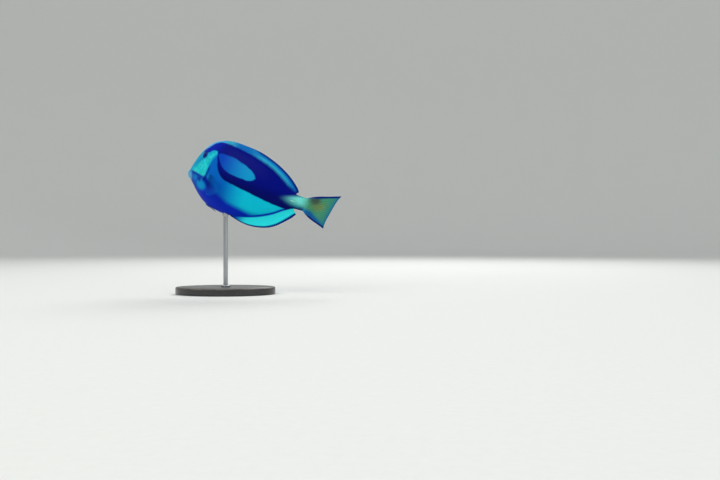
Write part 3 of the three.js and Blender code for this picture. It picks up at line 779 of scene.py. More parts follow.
def both_halves(shell):
    """Mirrors the right half, welded along the plane of symmetry."""
    count = len(shell.base)
    mirror = np.empty(count, int)
    mirror[shell.seam] = np.flatnonzero(shell.seam)
    free = ~shell.seam
    mirror[free] = count + np.arange(free.sum())
    flip = np.array([1, -1, 1])
    base = np.concatenate([shell.base, shell.base[free] * flip])
    skin = np.concatenate([shell.skin, shell.skin[free] * flip])
    fields = [np.concatenate([v, v[free]]) for v in (shell.kind, shell.reach, shell.ray)]
    faces = [tuple(quad) for quad in shell.quads.tolist()]
    faces += [tuple(int(v) for v in corner) for corner in shell.corners]
    faces += [tuple(int(mirror[v]) for v in reversed(face)) for face in faces]
    return base, skin, fields, faces


def without_strays(faces, stores):
    """Drops the points that no face uses, from the faces and from each store of point values."""
    used = np.unique(np.fromiter(chain.from_iterable(faces), int))
    number = np.zeros(len(stores[0]), int)
    number[used] = np.arange(len(used))
    number = number.tolist()
    faces = [tuple(number[v] for v in face) for face in faces]
    return faces, [store[used] for store in stores]


# Paired fins


def closed_sheet(mid, half, columns, rows):
    """A thin closed sheet round the surface mid(u, h), thinned to nothing all round its edge."""
    heights = 1 - (1 - np.linspace(0, 1, rows + 1)) ** 1.4
    h = np.concatenate([heights, heights[-2:0:-1]])
    side = np.concatenate([np.ones(rows + 1), -np.ones(rows - 1)])
    side[[0, rows]] = 0
    u, h = np.meshgrid(np.linspace(0, 1, columns + 1), h, indexing="ij")
    ends = np.sqrt(np.clip(np.sin(math.pi * u) * 12, 0, 1))
    step = 0.004
    along = mid(np.minimum(u + step, 1), h) - mid(np.maximum(u - step, 0), h)
    up = mid(u, h + step) - mid(u, h - step)
    normal = np.cross(along, up)
    normal /= np.linalg.norm(normal, axis=-1, keepdims=True)
    rim = np.sqrt(np.clip((1 - h) * 14, 0, 1))
    points = mid(u, h) + normal * (side[None, :] * ends * rim * half(u, h))[..., None]
    numbers = np.arange(points.shape[0] * points.shape[1]).reshape(points.shape[:2])
    ring = np.concatenate([numbers, numbers[:, :1]], 1)
    return points.reshape(-1, 3), u.ravel(), h.ravel(), grid_quads(ring)


def weld(points, faces, tolerance=1e-7):
    """Joins points that coincide and drops the faces that vanish."""
    keys = np.round(points / tolerance).astype(np.int64)
    _, first, same = np.unique(keys, axis=0, return_index=True, return_inverse=True)
    same = same.ravel()
    kept = []
    for face in faces:
        ring = []
        for v in same[np.array(face)].tolist():
            if v not in ring:
                ring.append(v)
        if len(ring) > 2:
            kept.append(tuple(ring))
    return first, kept


def fin_half(size, rays):
    """Half the thickness of a paired fin, over its surface."""

    def half(u, h):
        share = np.clip(h, 0, 1)
        web = lerp(0.95, 0.5, smooth(share, 0, 0.2))
        fork = 0.2 * smooth(share, 0.45, 0.85)
        offset = np.abs(u * rays - np.round(u * rays))
        thick = lerp(size.fin_root, size.fin_edge, share) / size.standard_length
        return thick * (web + (1 - web) * bell(offset, fork, 0.15))

    return half


def rooted_at(x, z):
    """A place on the right flank and the direction out of it."""
    x, z = np.array(x), np.array(z)
    return on_flank(x, z), out_of_flank(x, z)


def pectoral_fin(size):
    """A fan of rays rooted on the right flank and carried half folded."""
    fin = PECTORAL
    point, out = rooted_at(fin["x"], fin["z"])
    tailward = np.array([1.0, 0, 0]) - out * out[0]
    tailward /= np.linalg.norm(tailward)
    upward = np.cross(out, tailward)
    upward /= np.linalg.norm(upward)
    upward *= np.sign(upward[2])

    def mid(u, h):
        aim = np.radians(lerp(fin["fan_up"], -fin["fan_down"], u) - fin["down"])
        reach = lerp(fin["long_ray"], fin["short_ray"], u ** 1.3)
        reach = reach * (1 - 0.25 * (1 - u) ** 8 - 0.12 * u ** 6)
        reach = h * (reach + fin["root_inside"]) - fin["root_inside"]
        bow = fin["camber"] * np.sin(math.pi * u) * np.maximum(h, 0)
        away = reach * math.sin(math.radians(fin["out"])) + bow
        forth = reach * math.cos(math.radians(fin["out"]))
        lift = fin["root_half"] * (1 - 2 * u) + forth * np.sin(aim)
        sides = ((lift, upward), (forth * np.cos(aim), tailward), (away, out))
        return point + sum(distance[..., None] * way for distance, way in sides)

    return closed_sheet(mid, fin_half(size, fin["rays"]), fin["rays"] * 4, 16)


def pelvic_fin(size):
    """A few rays rooted beside the keel of the belly and folded back along it."""
    fin = PELVIC

    def mid(u, h):
        x = lerp(fin["front"], fin["rear"], u)
        aim = np.radians(lerp(*fin["down"], u))
        ray = lerp(fin["long_ray"], fin["short_ray"], u) + fin["root_inside"]
        reach = h * ray - fin["root_inside"]
        y = fin["apart"] + fin["spread"] * h
        root = belly(x) + fin["apart"] / 3
        return np.stack([x + reach * np.cos(aim), y, root - reach * np.sin(aim)], -1)

    return closed_sheet(mid, fin_half(size, fin["rays"]), fin["rays"] * 5, 14)


def paired_fins(size):
    """Points, faces and fields of both pectoral and both pelvic fins."""
    parts = []
    for kind, fin, rays in (
        (PECTORAL_FIN, pectoral_fin, PECTORAL["rays"]), (PELVIC_FIN, pelvic_fin, PELVIC["rays"])
    ):
        points, u, h, quads = fin(size)
        kept, faces = weld(points, quads.tolist())
        for side in (1, -1):
            shown = points[kept] * np.array([1, side, 1])
            turned = faces if side > 0 else [face[::-1] for face in faces]
            parts.append((shown, turned, kind, h[kept], u[kept] * rays))
    return parts


# Carrying the straight fish to the swimming one


def spine_at(x):
    grid = np.linspace(SPINE_FROM, SPINE_TO, SPINE_STEPS + 1)
    step = grid[1] - grid[0]
    way = np.radians(heading(grid[:-1] + step / 2))
    ahead = np.concatenate([[0], np.cumsum(np.cos(way))]) * step
    aside = np.concatenate([[0], np.cumsum(np.sin(way))]) * step
    return np.interp(x, grid, ahead), np.interp(x, grid, aside)


def pose_matrix(size):
    cp, sp = math.cos(size.pitch), math.sin(size.pitch)
    cr, sr = math.cos(size.roll), math.sin(size.roll)
    pitch = np.array([[cp, 0, sp], [0, 1, 0], [-sp, 0, cp]])
    roll = np.array([[1, 0, 0], [0, cr, -sr], [0, sr, cr]])
    return pitch @ roll


def bend(points, size):
    """Carries straight points to the fish's own frame, in metres."""
    x, y, z = np.asarray(points, float).T
    way = np.radians(heading(x))
    turn = size.tail_twist * twist(x)
    across = y * np.cos(turn) - z * np.sin(turn)
    up = y * np.sin(turn) + z * np.cos(turn)
    ahead, aside = spine_at(x)
    ahead0, aside0 = spine_at(MIDDLE)
    bent = np.stack(
        [ahead - ahead0 - across * np.sin(way), aside - aside0 + across * np.cos(way), up], 1
    )
    return bent @ pose_matrix(size).T * size.standard_length


def fish_place(size):
    """Where the fish's middle stands: the rod at the origin meets the belly's lowest line."""
    entry = bend(ROD_ENTRY_POINT, size)[0]
    return np.array([-entry[0], -entry[1], size.middle_height])


def placed(points, size):
    return bend(points, size) + fish_place(size)


# Fields of the markings, over the straight fish

palette_low = curve(
    (0.12, 0.106), (0.14, 0.096), (0.163, 0.083), (0.19, 0.093), (0.21, 0.11), (0.231, 0.128),
    (0.255, 0.139), (0.276, 0.14), (0.29, 0.129), (0.301, 0.109), (0.317, 0.083), (0.335, 0.05),
    (0.364, 0.011), (0.395, -0.014), (0.441, -0.03), (0.497, -0.035), (0.607, -0.045),
    (0.719, -0.057), (0.827, -0.066), (0.88, -0.068), (0.92, -0.072), (1, -0.072),
)
palette_top = curve(
    (0.15, 0.122), (0.2, 0.175), (0.25, 0.205), (0.3, 0.222), (0.36, 0.232), (0.44, 0.231),
    (0.56, 0.215), (0.68, 0.185), (0.8, 0.135), (0.88, 0.09), (0.94, 0.07), (1, 0.06),
)
hole_top = curve(
    (0.303, 0.122), (0.318, 0.134), (0.353, 0.141), (0.411, 0.141), (0.482, 0.131), (0.525, 0.122),
    (0.571, 0.106), (0.608, 0.087), (0.632, 0.062),
)
hole_low = curve(
    (0.303, 0.12), (0.325, 0.1), (0.341, 0.084), (0.373, 0.056), (0.414, 0.038), (0.465, 0.029),
    (0.513, 0.027), (0.566, 0.028), (0.603, 0.034), (0.622, 0.045), (0.632, 0.06),
)
rim_low = curve(
    (0.0, -0.07), (0.03, -0.02), (0.07, 0.04), (0.127, 0.107), (0.144, 0.122), (0.172, 0.145),
    (0.192, 0.17), (0.205, 0.187), (0.232, 0.205), (0.262, 0.211), (0.33, 0.2155), (0.39, 0.2145),
    (0.452, 0.2095), (0.51, 0.2035), (0.564, 0.198), (0.61, 0.19), (0.68, 0.175), (0.773, 0.139),
    (0.859, 0.093), (0.9, 0.072),
)
yellow_top = curve(
    (0.79, -0.006), (0.856, 0.017), (0.905, 0.034), (0.95, 0.047), (1.0, 0.056), (1.06, 0.077),
    (1.12, 0.1), (1.22, 0.133),
)
yellow_low = curve(
    (0.79, -0.005), (0.868, -0.021), (0.905, -0.029), (0.954, -0.03), (0.995, -0.023),
    (1.028, -0.024), (1.075, -0.038), (1.133, -0.066), (1.184, -0.092), (1.22, -0.112),
)
# Upper edge of the painted shade on the belly's underside
belly_shade_line = curve(
    (0.1, -0.14), (0.2, -0.154), (0.265, -0.147), (0.29, -0.115), (0.32, -0.096), (0.345, -0.102),
    (0.378, -0.122), (0.441, -0.145), (0.494, -0.162), (0.586, -0.17), (0.661, -0.177),
    (0.743, -0.162), (0.824, -0.115), (0.881, -0.068), (0.95, -0.05),
)


# Where markings begin and end along the body, and soft oval patches: centre, radii and softness
PALETTE_FROM, HOLE_FROM, HOLE_TO, YELLOW_FROM, RIM_TO, BODY_TO = 0.128, 0.302, 0.633, 0.79, 0.93, 1.0
PATCHES = dict(
    snout_tip=((0.026, -0.106), (0.05, 0.036), 0.55),
    chin=((0.13, -0.095), (0.03, 0.02), 0.6),
    jaw_spot=((0.199, -0.094), (0.022, 0.015), 0.6),
    throat=((0.226, -0.122), (0.056, 0.033), 0.5),
    pectoral_root=((0.301, -0.055), (0.017, 0.012), 0.5),
    olive=((1.056, 0.058), (0.04, 0.03), 0.7),
    gold=((1.098, 0.02), (0.05, 0.034), 0.7),
)
CHEEK_STREAK = dict(x=0.07, z=-0.055, slope=0.93)
# Ends of a stroke of painted shade behind the jaw, below the pectoral fin's root
JAW_SHADE_STROKE = ((0.262, -0.072), (0.345, -0.112))

# Distances in millimetres
EYE_RING, FAR_INSIDE, FAR_OUTSIDE = 4.5, 50.0, -5
MARGIN_SPARE, CAUDAL_MARGIN_EXTRA = 0.5, 0.6


def patch(x, z, name):
    """1 inside one of the soft oval patches, fading out round its edge."""
    centre, radii, soft = PATCHES[name]
    return falls(oval_reach(x, z, centre, radii), 1 - soft, 1 + soft)


def above(x, z, line, scale):
    """Signed distance above a line, in millimetres."""
    slope = (line(x + SLOPE_STEP) - line(x - SLOPE_STEP)) / (2 * SLOPE_STEP)
    return (z - line(x)) / np.sqrt(1 + slope ** 2) * scale


def between(x, z, low, top, scale):
    """Signed distance inside two lines, in millimetres."""
    return np.minimum(above(x, z, low, scale), -above(x, z, top, scale))


def body_marks(x, z, scale):
    """The palette and its hole, the rim along the back, the tail's yellow and the painted shade of
    the belly.
    """
    navy = np.minimum(between(x, z, palette_low, palette_top, scale), (x - PALETTE_FROM) * scale)
    navy = np.maximum(navy, EYE_RING - axis_distance(x, z, EYE, scale))
    hole = between(x, z, hole_low, hole_top, scale)
    yellow = between(x, z, yellow_low, yellow_top, scale)
    # Painted shade: under darkens the belly below its shade line, and keel a strip along the keel
    # above the anal fin; the belly field carries both
    under = falls(above(x, z, belly_shade_line, scale), -4.5, 3.2) * smooth(x, 0.1, 0.24)
    keel = falls((z - belly(x)) * scale, 1.2, 3.4) * within(x, 0.45, 0.6, 0.93, 0.97)
    return dict(
        navy=np.minimum(navy, (BODY_TO - x) * scale),
        hole=np.minimum(hole, np.minimum(x - HOLE_FROM, HOLE_TO - x) * scale),
        rim=np.where(x < RIM_TO, above(x, z, rim_low, scale), FAR_OUTSIDE),
        yellow=np.minimum(yellow, (x - YELLOW_FROM) * scale),
        belly=np.maximum(under, keel),
        flank=smooth(x, 0.4, 0.64),
    )


def head_marks(x, z, scale):
    """Snout, cheek, jaw and throat, with painted shade in the folds round them."""
    below = -above(x, z, cheek_line, scale)
    soft = lerp(1.6, 4.0, within(z, 0.0, 0.05, 0.1, 0.125))
    snout = smooth((cheek_rear(z) - x) * scale, -soft, soft) * falls(below, -0.8, 0.8)
    slope = CHEEK_STREAK["slope"]
    streak = (x - CHEEK_STREAK["x"]) * slope - (z - CHEEK_STREAK["z"])
    streak = streak / math.hypot(1, slope) * scale
    throat = [patch(x, z, "throat"), 0.6 * patch(x, z, "chin"), 0.8 * patch(x, z, "pectoral_root")]
    # Painted shade: dark lines in the cheek's groove, behind the gill opening and along the stroke
    # below the pectoral root, together with a dark spot on the jaw and a darker streak below the eye
    cheek_groove_shade = bell(below, 0.6, 1.4) * within(x, 0.05, 0.08, 0.25, 0.3)
    gill_shade = bell((x - gill_line(z)) * scale, 0.5, 1.3) * within(z, -0.1, -0.07, 0.0, 0.04)
    jaw_stroke_shade = falls(segment_distance(x, z, *JAW_SHADE_STROKE) * scale, 1.6, 5.2)
    below_eye = bell(streak, -3.0, 2.4) * within(x, 0.07, 0.12, 0.17, 0.22)
    shades = [
        0.62 * cheek_groove_shade, 0.6 * gill_shade, 0.9 * jaw_stroke_shade, 0.8 * patch(x, z, "jaw_spot"),
        0.3 * below_eye,
    ]
    return dict(
        snout=snout,
        cheek=snout * smooth(streak, -4, 4),
        jaw=smooth(below, -0.6, 0.8) * falls(x, 0.28, 0.36),
        throat=np.max(throat, axis=0),
        shade=np.max(shades, axis=0),
    )


def fin_marks(x, z, kind, reach, scale):
    """Margins and soft colours of the fins, with the pale tip of the snout round the lips."""
    to_edge = dorsal_height(x) * (1 - reach) * scale
    tail_edge = (caudal_half_height(reach) - np.abs(z - CAUDAL_MIDDLE)) * scale
    edges = {
        DORSAL: to_edge + 2.6 * falls(x, 0.46, 0.62) + MARGIN_SPARE,
        ANAL: anal_height(x) * (1 - reach) * scale + MARGIN_SPARE,
        CAUDAL: tail_edge - CAUDAL_MARGIN_EXTRA + 3.4 * falls(x, 0.99, 1.08),
    }
    return dict(
        edge=np.select([kind == fin for fin in edges], list(edges.values()), FAR_INSIDE),
        fade=(kind == DORSAL) * falls(to_edge, 1.8, 5.2) * smooth(x, 0.45, 0.6),
        olive=(kind == CAUDAL) * patch(x, z, "olive"),
        gold=(kind == CAUDAL) * patch(x, z, "gold"),
        anal=(kind == ANAL) * smooth(reach, 0.0, 0.05) * smooth(x, 0.545, 0.65),
        caudal=smooth(x, 0.97, 1.02) * (kind != PECTORAL_FIN),
        paired=((kind == PECTORAL_FIN) | (kind == PELVIC_FIN)) * 1.0,
        lips=np.maximum(kind == LIP, 0.85 * patch(x, z, "snout_tip") * (kind != MOUTH)),
    )


def marking_fields(base, kind, reach, size):
    """Soft masks from 0 to 1 and signed distances in millimetres, inside positive."""
    scale = size.standard_length / MM
    x, _, z = base.T
    return {
        **body_marks(x, z, scale), **head_marks(x, z, scale), **fin_marks(x, z, kind, reach, scale),
        "along": x, "reach": reach,
    }


# Meshes


def outward(points, faces):
    """True if the faces of a closed mesh point out."""
    total = 0.0
    for sides in {len(face) for face in faces}:
        ring = np.array([face for face in faces if len(face) == sides])
        for k in range(1, sides - 1):
            a, b, c = points[ring[:, 0]], points[ring[:, k]], points[ring[:, k + 1]]
            total += np.einsum("ij,ij->i", a, np.cross(b, c)).sum()
    return total > 0


def add_object(name, data):
    made = bpy.data.objects.new(name, data)
    bpy.context.scene.collection.objects.link(made)
    return made


def make_piece(name, points, faces, fields, materials, slots=None):
    """A smooth mesh object with its fields as attributes of its points."""
    if not outward(points, faces):
        faces = [face[::-1] for face in faces]
    mesh = bpy.data.meshes.new(name)
    mesh.from_pydata(points.tolist(), [], faces)
    for field, values in fields.items():
        values = np.asarray(values, np.float32)
        vector = values.ndim == 2
        layer = mesh.attributes.new(field, "FLOAT_VECTOR" if vector else "FLOAT", "POINT")
        layer.data.foreach_set("vector" if vector else "value", values.ravel())
    for material in materials:
        mesh.materials.append(material)
    if slots is not None:
        mesh.polygons.foreach_set("material_index", np.asarray(slots, np.int32))
    mesh.shade_smooth()
    mesh.update()
    return add_object(name, mesh)


def oval_ring(half_x, half_y, height, around, centre=(0, 0)):
    turn = 2 * math.pi * np.arange(around) / around
    return np.column_stack([
        centre[0] + half_x * np.cos(turn), centre[1] + half_y * np.sin(turn), np.full(around, height)
    ])


def loft(rings, tips=None):
    """Points and faces over rings, closed by a tip at each end.

    An end whose tip is None stays open. With no tips at all, the last ring joins the first.
    """
    points = np.concatenate(rings)
    numbers = np.arange(len(points)).reshape(len(rings), -1)
    loop = np.concatenate([numbers, numbers[:, :1]], 1)
    if tips is None:
        loop = np.concatenate([loop, loop[:1]])
    faces = [tuple(face) for face in grid_quads(loop).tolist()]
    for tip, ring in zip(tips or (), (loop[0, ::-1].tolist(), loop[-1].tolist())):
        if tip is not None:
            faces += [(a, b, len(points)) for a, b in zip(ring, ring[1:])]
            points = np.concatenate([points, [tip]])
    return points, faces


def lathe(profile, around, centre=(0, 0), open_end=False):
    """A turned shape from (radius, height) rows, from the axis to the axis or to an open end."""
    rows = profile[1:] if open_end else profile[1:-1]
    rings = [oval_ring(radius, radius, height, around, centre) for radius, height in rows]
    tips = [(*centre, profile[0][1]), None if open_end else (*centre, profile[-1][1])]
    return loft(rings, tips)


# Shader nodes


class Sheet:
    """Writes nodes into a tree, so that a formula of nodes reads as one."""

    def __init__(self, tree):
        self.tree = tree

    def node(self, kind, **settings):
        made = self.tree.nodes.new(kind)
        made.location = (180 * (len(self.tree.nodes) % 12), -200 * (len(self.tree.nodes) // 12))
        for name, value in settings.items():
            setattr(made, name, value)
        return made

    def put(self, socket, value):
        if isinstance(value, bpy.types.NodeSocket):
            self.tree.links.new(value, socket)
        elif value is not None:
            wide = len(getattr(socket, "default_value", ())) if socket.type == "RGBA" else 0
            socket.default_value = (*value[:3], 1) if wide == 4 else value

    def math(self, operation, *values, clamp=False):
        made = self.node("ShaderNodeMath", operation=operation, use_clamp=clamp)
        for socket, value in zip(made.inputs, values):
            self.put(socket, value)
        return made.outputs[0]

    def plus(self, first, second, clamp=False):
        return self.math("ADD", first, second, clamp=clamp)

    def minus(self, first, second):
        return self.math("SUBTRACT", first, second)

    def times(self, first, second):
        return self.math("MULTIPLY", first, second)

    def line(self, value, slope, start):
        """A value made steeper or flatter, and moved to another start."""
        return self.plus(self.times(value, slope), start)

    def rise(self, value, low, high, start=0.0, end=1.0):
        """Goes smoothly from start to end as a value goes from low to high."""
        made = self.node("ShaderNodeMapRange", interpolation_type="SMOOTHSTEP")
        for socket, v in zip(made.inputs, (value, low, high, start, end)):
            self.put(socket, v)
        return made.outputs[0]

    def mix(self, share, first, second, blend="MIX"):
        made = self.node("ShaderNodeMix", data_type="RGBA", blend_type=blend)
        for number, value in ((0, share), (6, first), (7, second)):
            self.put(made.inputs[number], value)
        return made.outputs[2]

    def layered(self, colour, *layers):
        """A colour with others laid over it, each through its own mask."""
        for mask, over in layers:
            colour = self.mix(mask, colour, over)
        return colour

    def scaled(self, vector, factors):
        made = self.node("ShaderNodeVectorMath", operation="MULTIPLY")
        self.put(made.inputs[0], vector)
        self.put(made.inputs[1], factors)
        return made.outputs[0]

    def feed(self, sockets, **values):
        """Sets or links sockets by name."""
        for name, value in values.items():
            self.put(sockets[name.replace("_", " ")], value)

    def fed(self, kind, **values):
        made = self.node(kind)
        self.feed(made.inputs, **values)
        return made.outputs

    def noise(self, vector, scale, detail, roughness=0.5):
        values = dict(Vector=vector, Scale=scale, Detail=detail, Roughness=roughness)
        return self.fed("ShaderNodeTexNoise", **values)["Fac"]

    def cells(self, vector, scale, randomness):
        values = dict(Vector=vector, Scale=scale, Randomness=randomness)
        return self.fed("ShaderNodeTexVoronoi", **values)["Distance"]

    def field(self, name, vector=False):
        made = self.node("ShaderNodeAttribute", attribute_name=name)
        return made.outputs["Vector" if vector else "Fac"]

    def group(self, group, **values):
        made = self.node("ShaderNodeGroup", node_tree=group)
        self.feed(made.inputs, **values)
        return made.outputs

    def bump(self, height, distance, strength=1.0):
        values = dict(Strength=strength, Distance=distance, Height=height)
        return self.fed("ShaderNodeBump", **values)[0]


def new_group(name, inputs, outputs):
    """An empty node group with named sockets, and the sheet to write it on."""
    group = bpy.data.node_groups.new(name, "ShaderNodeTree")
    for label, kind, default in inputs:
        socket = group.interface.new_socket(label, in_out="INPUT", socket_type=f"NodeSocket{kind}")
        if default is not None:
            socket.default_value = (*default[:3], 1) if kind == "Color" else default
    for label, kind in outputs:
        group.interface.new_socket(label, in_out="OUTPUT", socket_type=f"NodeSocket{kind}")
    sheet = Sheet(group)
    entry = sheet.node("NodeGroupInput").outputs
    leave = sheet.node("NodeGroupOutput").inputs
    return group, sheet, entry, leave


def built_group(name, build):
    return bpy.data.node_groups.get(name) or build(name)


def new_material(name, **plain):
    """A material with a Principled shader, its plain values set on the shader's own sockets."""
    material = bpy.data.materials.new(name)
    material.use_nodes = True
    sheet = Sheet(material.node_tree)
    shader = material.node_tree.nodes["Principled BSDF"].inputs
    sheet.feed(shader, **plain)
    return material, sheet, shader


# The belly and shade fields carry painted shade
MARK_FIELDS = (
    "navy", "hole", "rim", "yellow", "belly", "flank", "cheek", "snout", "jaw", "throat",
    "shade", "fade", "olive", "gold", "along", "edge", "anal", "caudal", "paired", "lips", "reach",
)

# Where along the body one paint passes into the next
BLENDS = dict(
    brow=(0.04, 0.17), palette=(0.22, 0.36), dorsal_front=(0.25, 0.31), dorsal=(0.33, 0.42),
    hole=(0.34, 0.6), rim=(0.45, 0.72), dorsal_rear=(0.48, 0.66), yellow=(0.8, 0.95),
    dorsal_end=(0.83, 0.92), tail=(0.96, 1.03), lobe=(1.1, 1.26), tail_rear=(1.13, 1.24),
)

# Softness of painted edges and how far they wander, in millimetres
EDGE_SOFTNESS = dict(navy=0.75, hole=0.8, yellow=2.3)
RIM_SOFTNESS, MARGIN_FADE, EDGE_WANDER = (1.2, 2.6), (2.6, 1.4), 1.6


def markings_group(name):
    """Colour of the whole fish from its marking fields."""
    paint = bpy.context.scene.tang_paint
    inputs = [(field.capitalize(), "Float", 0.0) for field in MARK_FIELDS]
    inputs.append(("Place", "Vector", None))
    group, s, entry, leave = new_group(name, inputs, [("Color", "Color")])
    f = {field: entry[field.capitalize()] for field in MARK_FIELDS}
    place = entry["Place"]
    wander = s.times(s.minus(s.noise(place, 26, 3), 0.5), EDGE_WANDER)
    blotch = s.times(s.minus(s.noise(place, 9, 2), 0.5), 0.25)
    fleck = s.rise(s.noise(place, 48, 3, 0.6), 0.38, 0.62)
    height = s.fed("ShaderNodeSeparateXYZ", Vector=place)["Z"]

    def along(blend):
        return s.rise(f["along"], *BLENDS[blend])

    def inside(field):
        soft = EDGE_SOFTNESS[field]
        return s.rise(s.plus(f[field], wander), -soft, soft)

    cheek = s.mix(fleck, paint.cheek_green, paint.turquoise)
    navy = s.mix(s.rise(height, 0.05, -0.03), paint.navy, paint.deep_navy)
    palette = s.mix(along("palette"), paint.band, navy)
    hole = s.mix(along("hole"), paint.hole_front, paint.hole_rear)
    crest = s.layered(
        paint.snout, (along("brow"), paint.rim), (along("dorsal_front"), paint.dorsal_front),
        (along("dorsal"), paint.dorsal), (along("dorsal_rear"), paint.dorsal_rear),
        (along("dorsal_end"), paint.band), (f["fade"], paint.dorsal),
    )
    soft = s.rise(f["along"], *BLENDS["rim"], *RIM_SOFTNESS)
    rim = s.rise(s.plus(f["rim"], wander), s.times(soft, -1.0), soft)
    # The belly field lays painted shade on the belly's underside in deep blue
    body = s.layered(
        s.mix(f["flank"], paint.azure, paint.cyan), (f["jaw"], paint.jaw),
        (s.plus(f["belly"], blotch, clamp=True), paint.belly_shade_blue), (f["throat"], paint.throat),
        (f["snout"], paint.snout), (f["cheek"], cheek), (inside("navy"), palette),
        (inside("hole"), hole), (rim, crest), (f["anal"], paint.anal),
    )
    hem = s.times(s.times(s.rise(f["reach"], 0.88, 1.0), 0.7), f["caudal"])
    tail = s.layered(
        s.mix(s.rise(height, 0.014, -0.03), paint.pale, paint.teal), (along("tail"), paint.yellow),
        (f["gold"], paint.gold), (f["olive"], paint.olive), (along("tail_rear"), paint.teal),
        (hem, paint.tail_blue),
    )
    lobe = s.mix(along("lobe"), paint.tail_blue, paint.teal)
    yellow = s.times(inside("yellow"), s.math("POWER", along("yellow"), 1.35))
    blade = s.mix(s.rise(f["reach"], 0.02, 0.3), paint.throat, paint.pectoral)
    lips = s.mix(s.times(fleck, 0.45), paint.lips, paint.snout)
    # The shade field lays the fold colour, painted shade, over the folds of the head
    colour = s.layered(
        body, (f["caudal"], lobe), (yellow, tail), (f["paired"], blade),
        (s.rise(f["edge"], *MARGIN_FADE), paint.margin), (f["shade"], paint.fold), (f["lips"], lips),
    )
    s.put(leave["Color"], colour)
    return group


def grain_group(name):
    """Minute scales and the soft unevenness of skin."""
    inputs = [("Place", "Vector", None), ("Scale", "Float", 300.0)]
    outputs = [("Height", "Float"), ("Tint", "Float")]
    group, s, entry, leave = new_group(name, inputs, outputs)
    place = entry["Place"]
    cell = s.cells(s.scaled(place, (0.8, 1.0, 1.25)), entry["Scale"], 0.45)
    lump, cloud = s.noise(place, 60, 4), s.noise(place, 34, 5, 0.6)
    height = s.plus(s.times(cell, -0.9), s.times(lump, 0.12))
    s.feed(leave, Height=height, Tint=s.plus(s.times(cloud, 0.5), s.times(cell, 0.2)))
    return group


def rays_group(name):
    """Rays of a fin, each forked towards the free edge."""
    inputs = [("Phase", "Float", 0.0), ("Reach", "Float", 0.0)]
    outputs = [("Height", "Float"), ("Ray", "Float"), ("Web", "Float")]
    group, s, entry, leave = new_group(name, inputs, outputs)
    phase, reach = entry["Phase"], entry["Reach"]
    grown = s.rise(reach, 0.0, 0.16)
    offset = s.math("ABSOLUTE", s.minus(phase, s.math("ROUND", phase)))
    fork = s.times(s.rise(reach, 0.3, 0.85), 0.2)
    bare = s.rise(s.math("ABSOLUTE", s.minus(offset, fork)), 0.16, 0.03)
    ray = s.times(bare, grown)
    joints = s.times(s.times(s.math("SINE", s.times(reach, 190.0)), ray), 0.12)
    s.feed(leave, Height=s.plus(ray, joints), Ray=ray, Web=s.times(s.minus(1.0, bare), grown))
    return group


def markings(sheet):
    """The fish's colour in a material, from the mesh's fields."""
    group = built_group("Tang markings", markings_group)
    values = {field.capitalize(): sheet.field(field) for field in MARK_FIELDS}
    return sheet.group(group, Place=sheet.field("straight", True), **values)["Color"]


def grained(sheet, scale):
    """The height of the scale grain in a material, with the shade and roughness it gives."""
    group = built_group("Scale grain", grain_group)
    grain = sheet.group(group, Place=sheet.field("straight", True), Scale=scale)
    shade, roughness = ((0.3, 0.87), (0.22, 0.34))
    return grain["Height"], sheet.line(grain["Tint"], *shade), sheet.line(grain["Tint"], *roughness)


def skin_material():
    """Satin skin with minute scales."""
    material, s, shader = new_material(
        "tang_skin", Specular_IOR_Level=0.03, Coat_Weight=0.02, Coat_Roughness=0.22
    )
    height, shade, roughness = grained(s, 330.0)
    colour = s.mix(1.0, markings(s), shade, "MULTIPLY")
    s.feed(shader, Base_Color=colour, Roughness=roughness, Normal=s.bump(height, 0.00007, 0.8))
    return material


def fin_material(name, clear=False):
    """Membrane between rays. The paired fins let some of the flank show through."""
    material, s, shader = new_material(
        name, Specular_IOR_Level=0.03, Coat_Weight=0.02, Coat_Roughness=0.25
    )
    reach = s.field("reach")
    rays = s.group(built_group("Fin rays", rays_group), Phase=s.field("ray"), Reach=reach)
    height, shade, roughness = grained(s, 420.0)
    lit = s.mix(s.times(rays["Ray"], 0.3), markings(s), (1.0, 1.0, 1.0), "SOFT_LIGHT")
    dim = s.mix(s.times(rays["Web"], 0.26), lit, (0.2, 0.3, 0.4), "MULTIPLY")
    if clear:
        web = s.rise(reach, 0.0, 0.5, 0.8, 0.14)
        s.put(shader["Alpha"], s.plus(s.times(rays["Ray"], 0.3), web, clamp=True))
    normal = s.bump(s.plus(rays["Height"], s.times(height, 0.3)), 0.00012, 0.7)
    colour = s.mix(1.0, dim, shade, "MULTIPLY")
    s.feed(shader, Base_Color=colour, Roughness=roughness, Normal=normal)
    return material


def mouth_material():
    """Dark, damp lining of the mouth."""
    material, s, shader = new_material("tang_mouth", Roughness=0.3)
    place = s.field("straight", True)
    colour = s.mix(s.noise(place, 80, 3), linear(14, 26, 60), linear(40, 44, 84))
    s.feed(shader, Base_Color=colour, Normal=s.bump(s.noise(place, 220, 3), 0.00008))
    return material


# The number of each kind's material
MATERIAL_OF = {
    BODY: 0, LIP: 0, DORSAL: 1, ANAL: 1, CAUDAL: 1, PECTORAL_FIN: 2, PELVIC_FIN: 2, MOUTH: 3
}


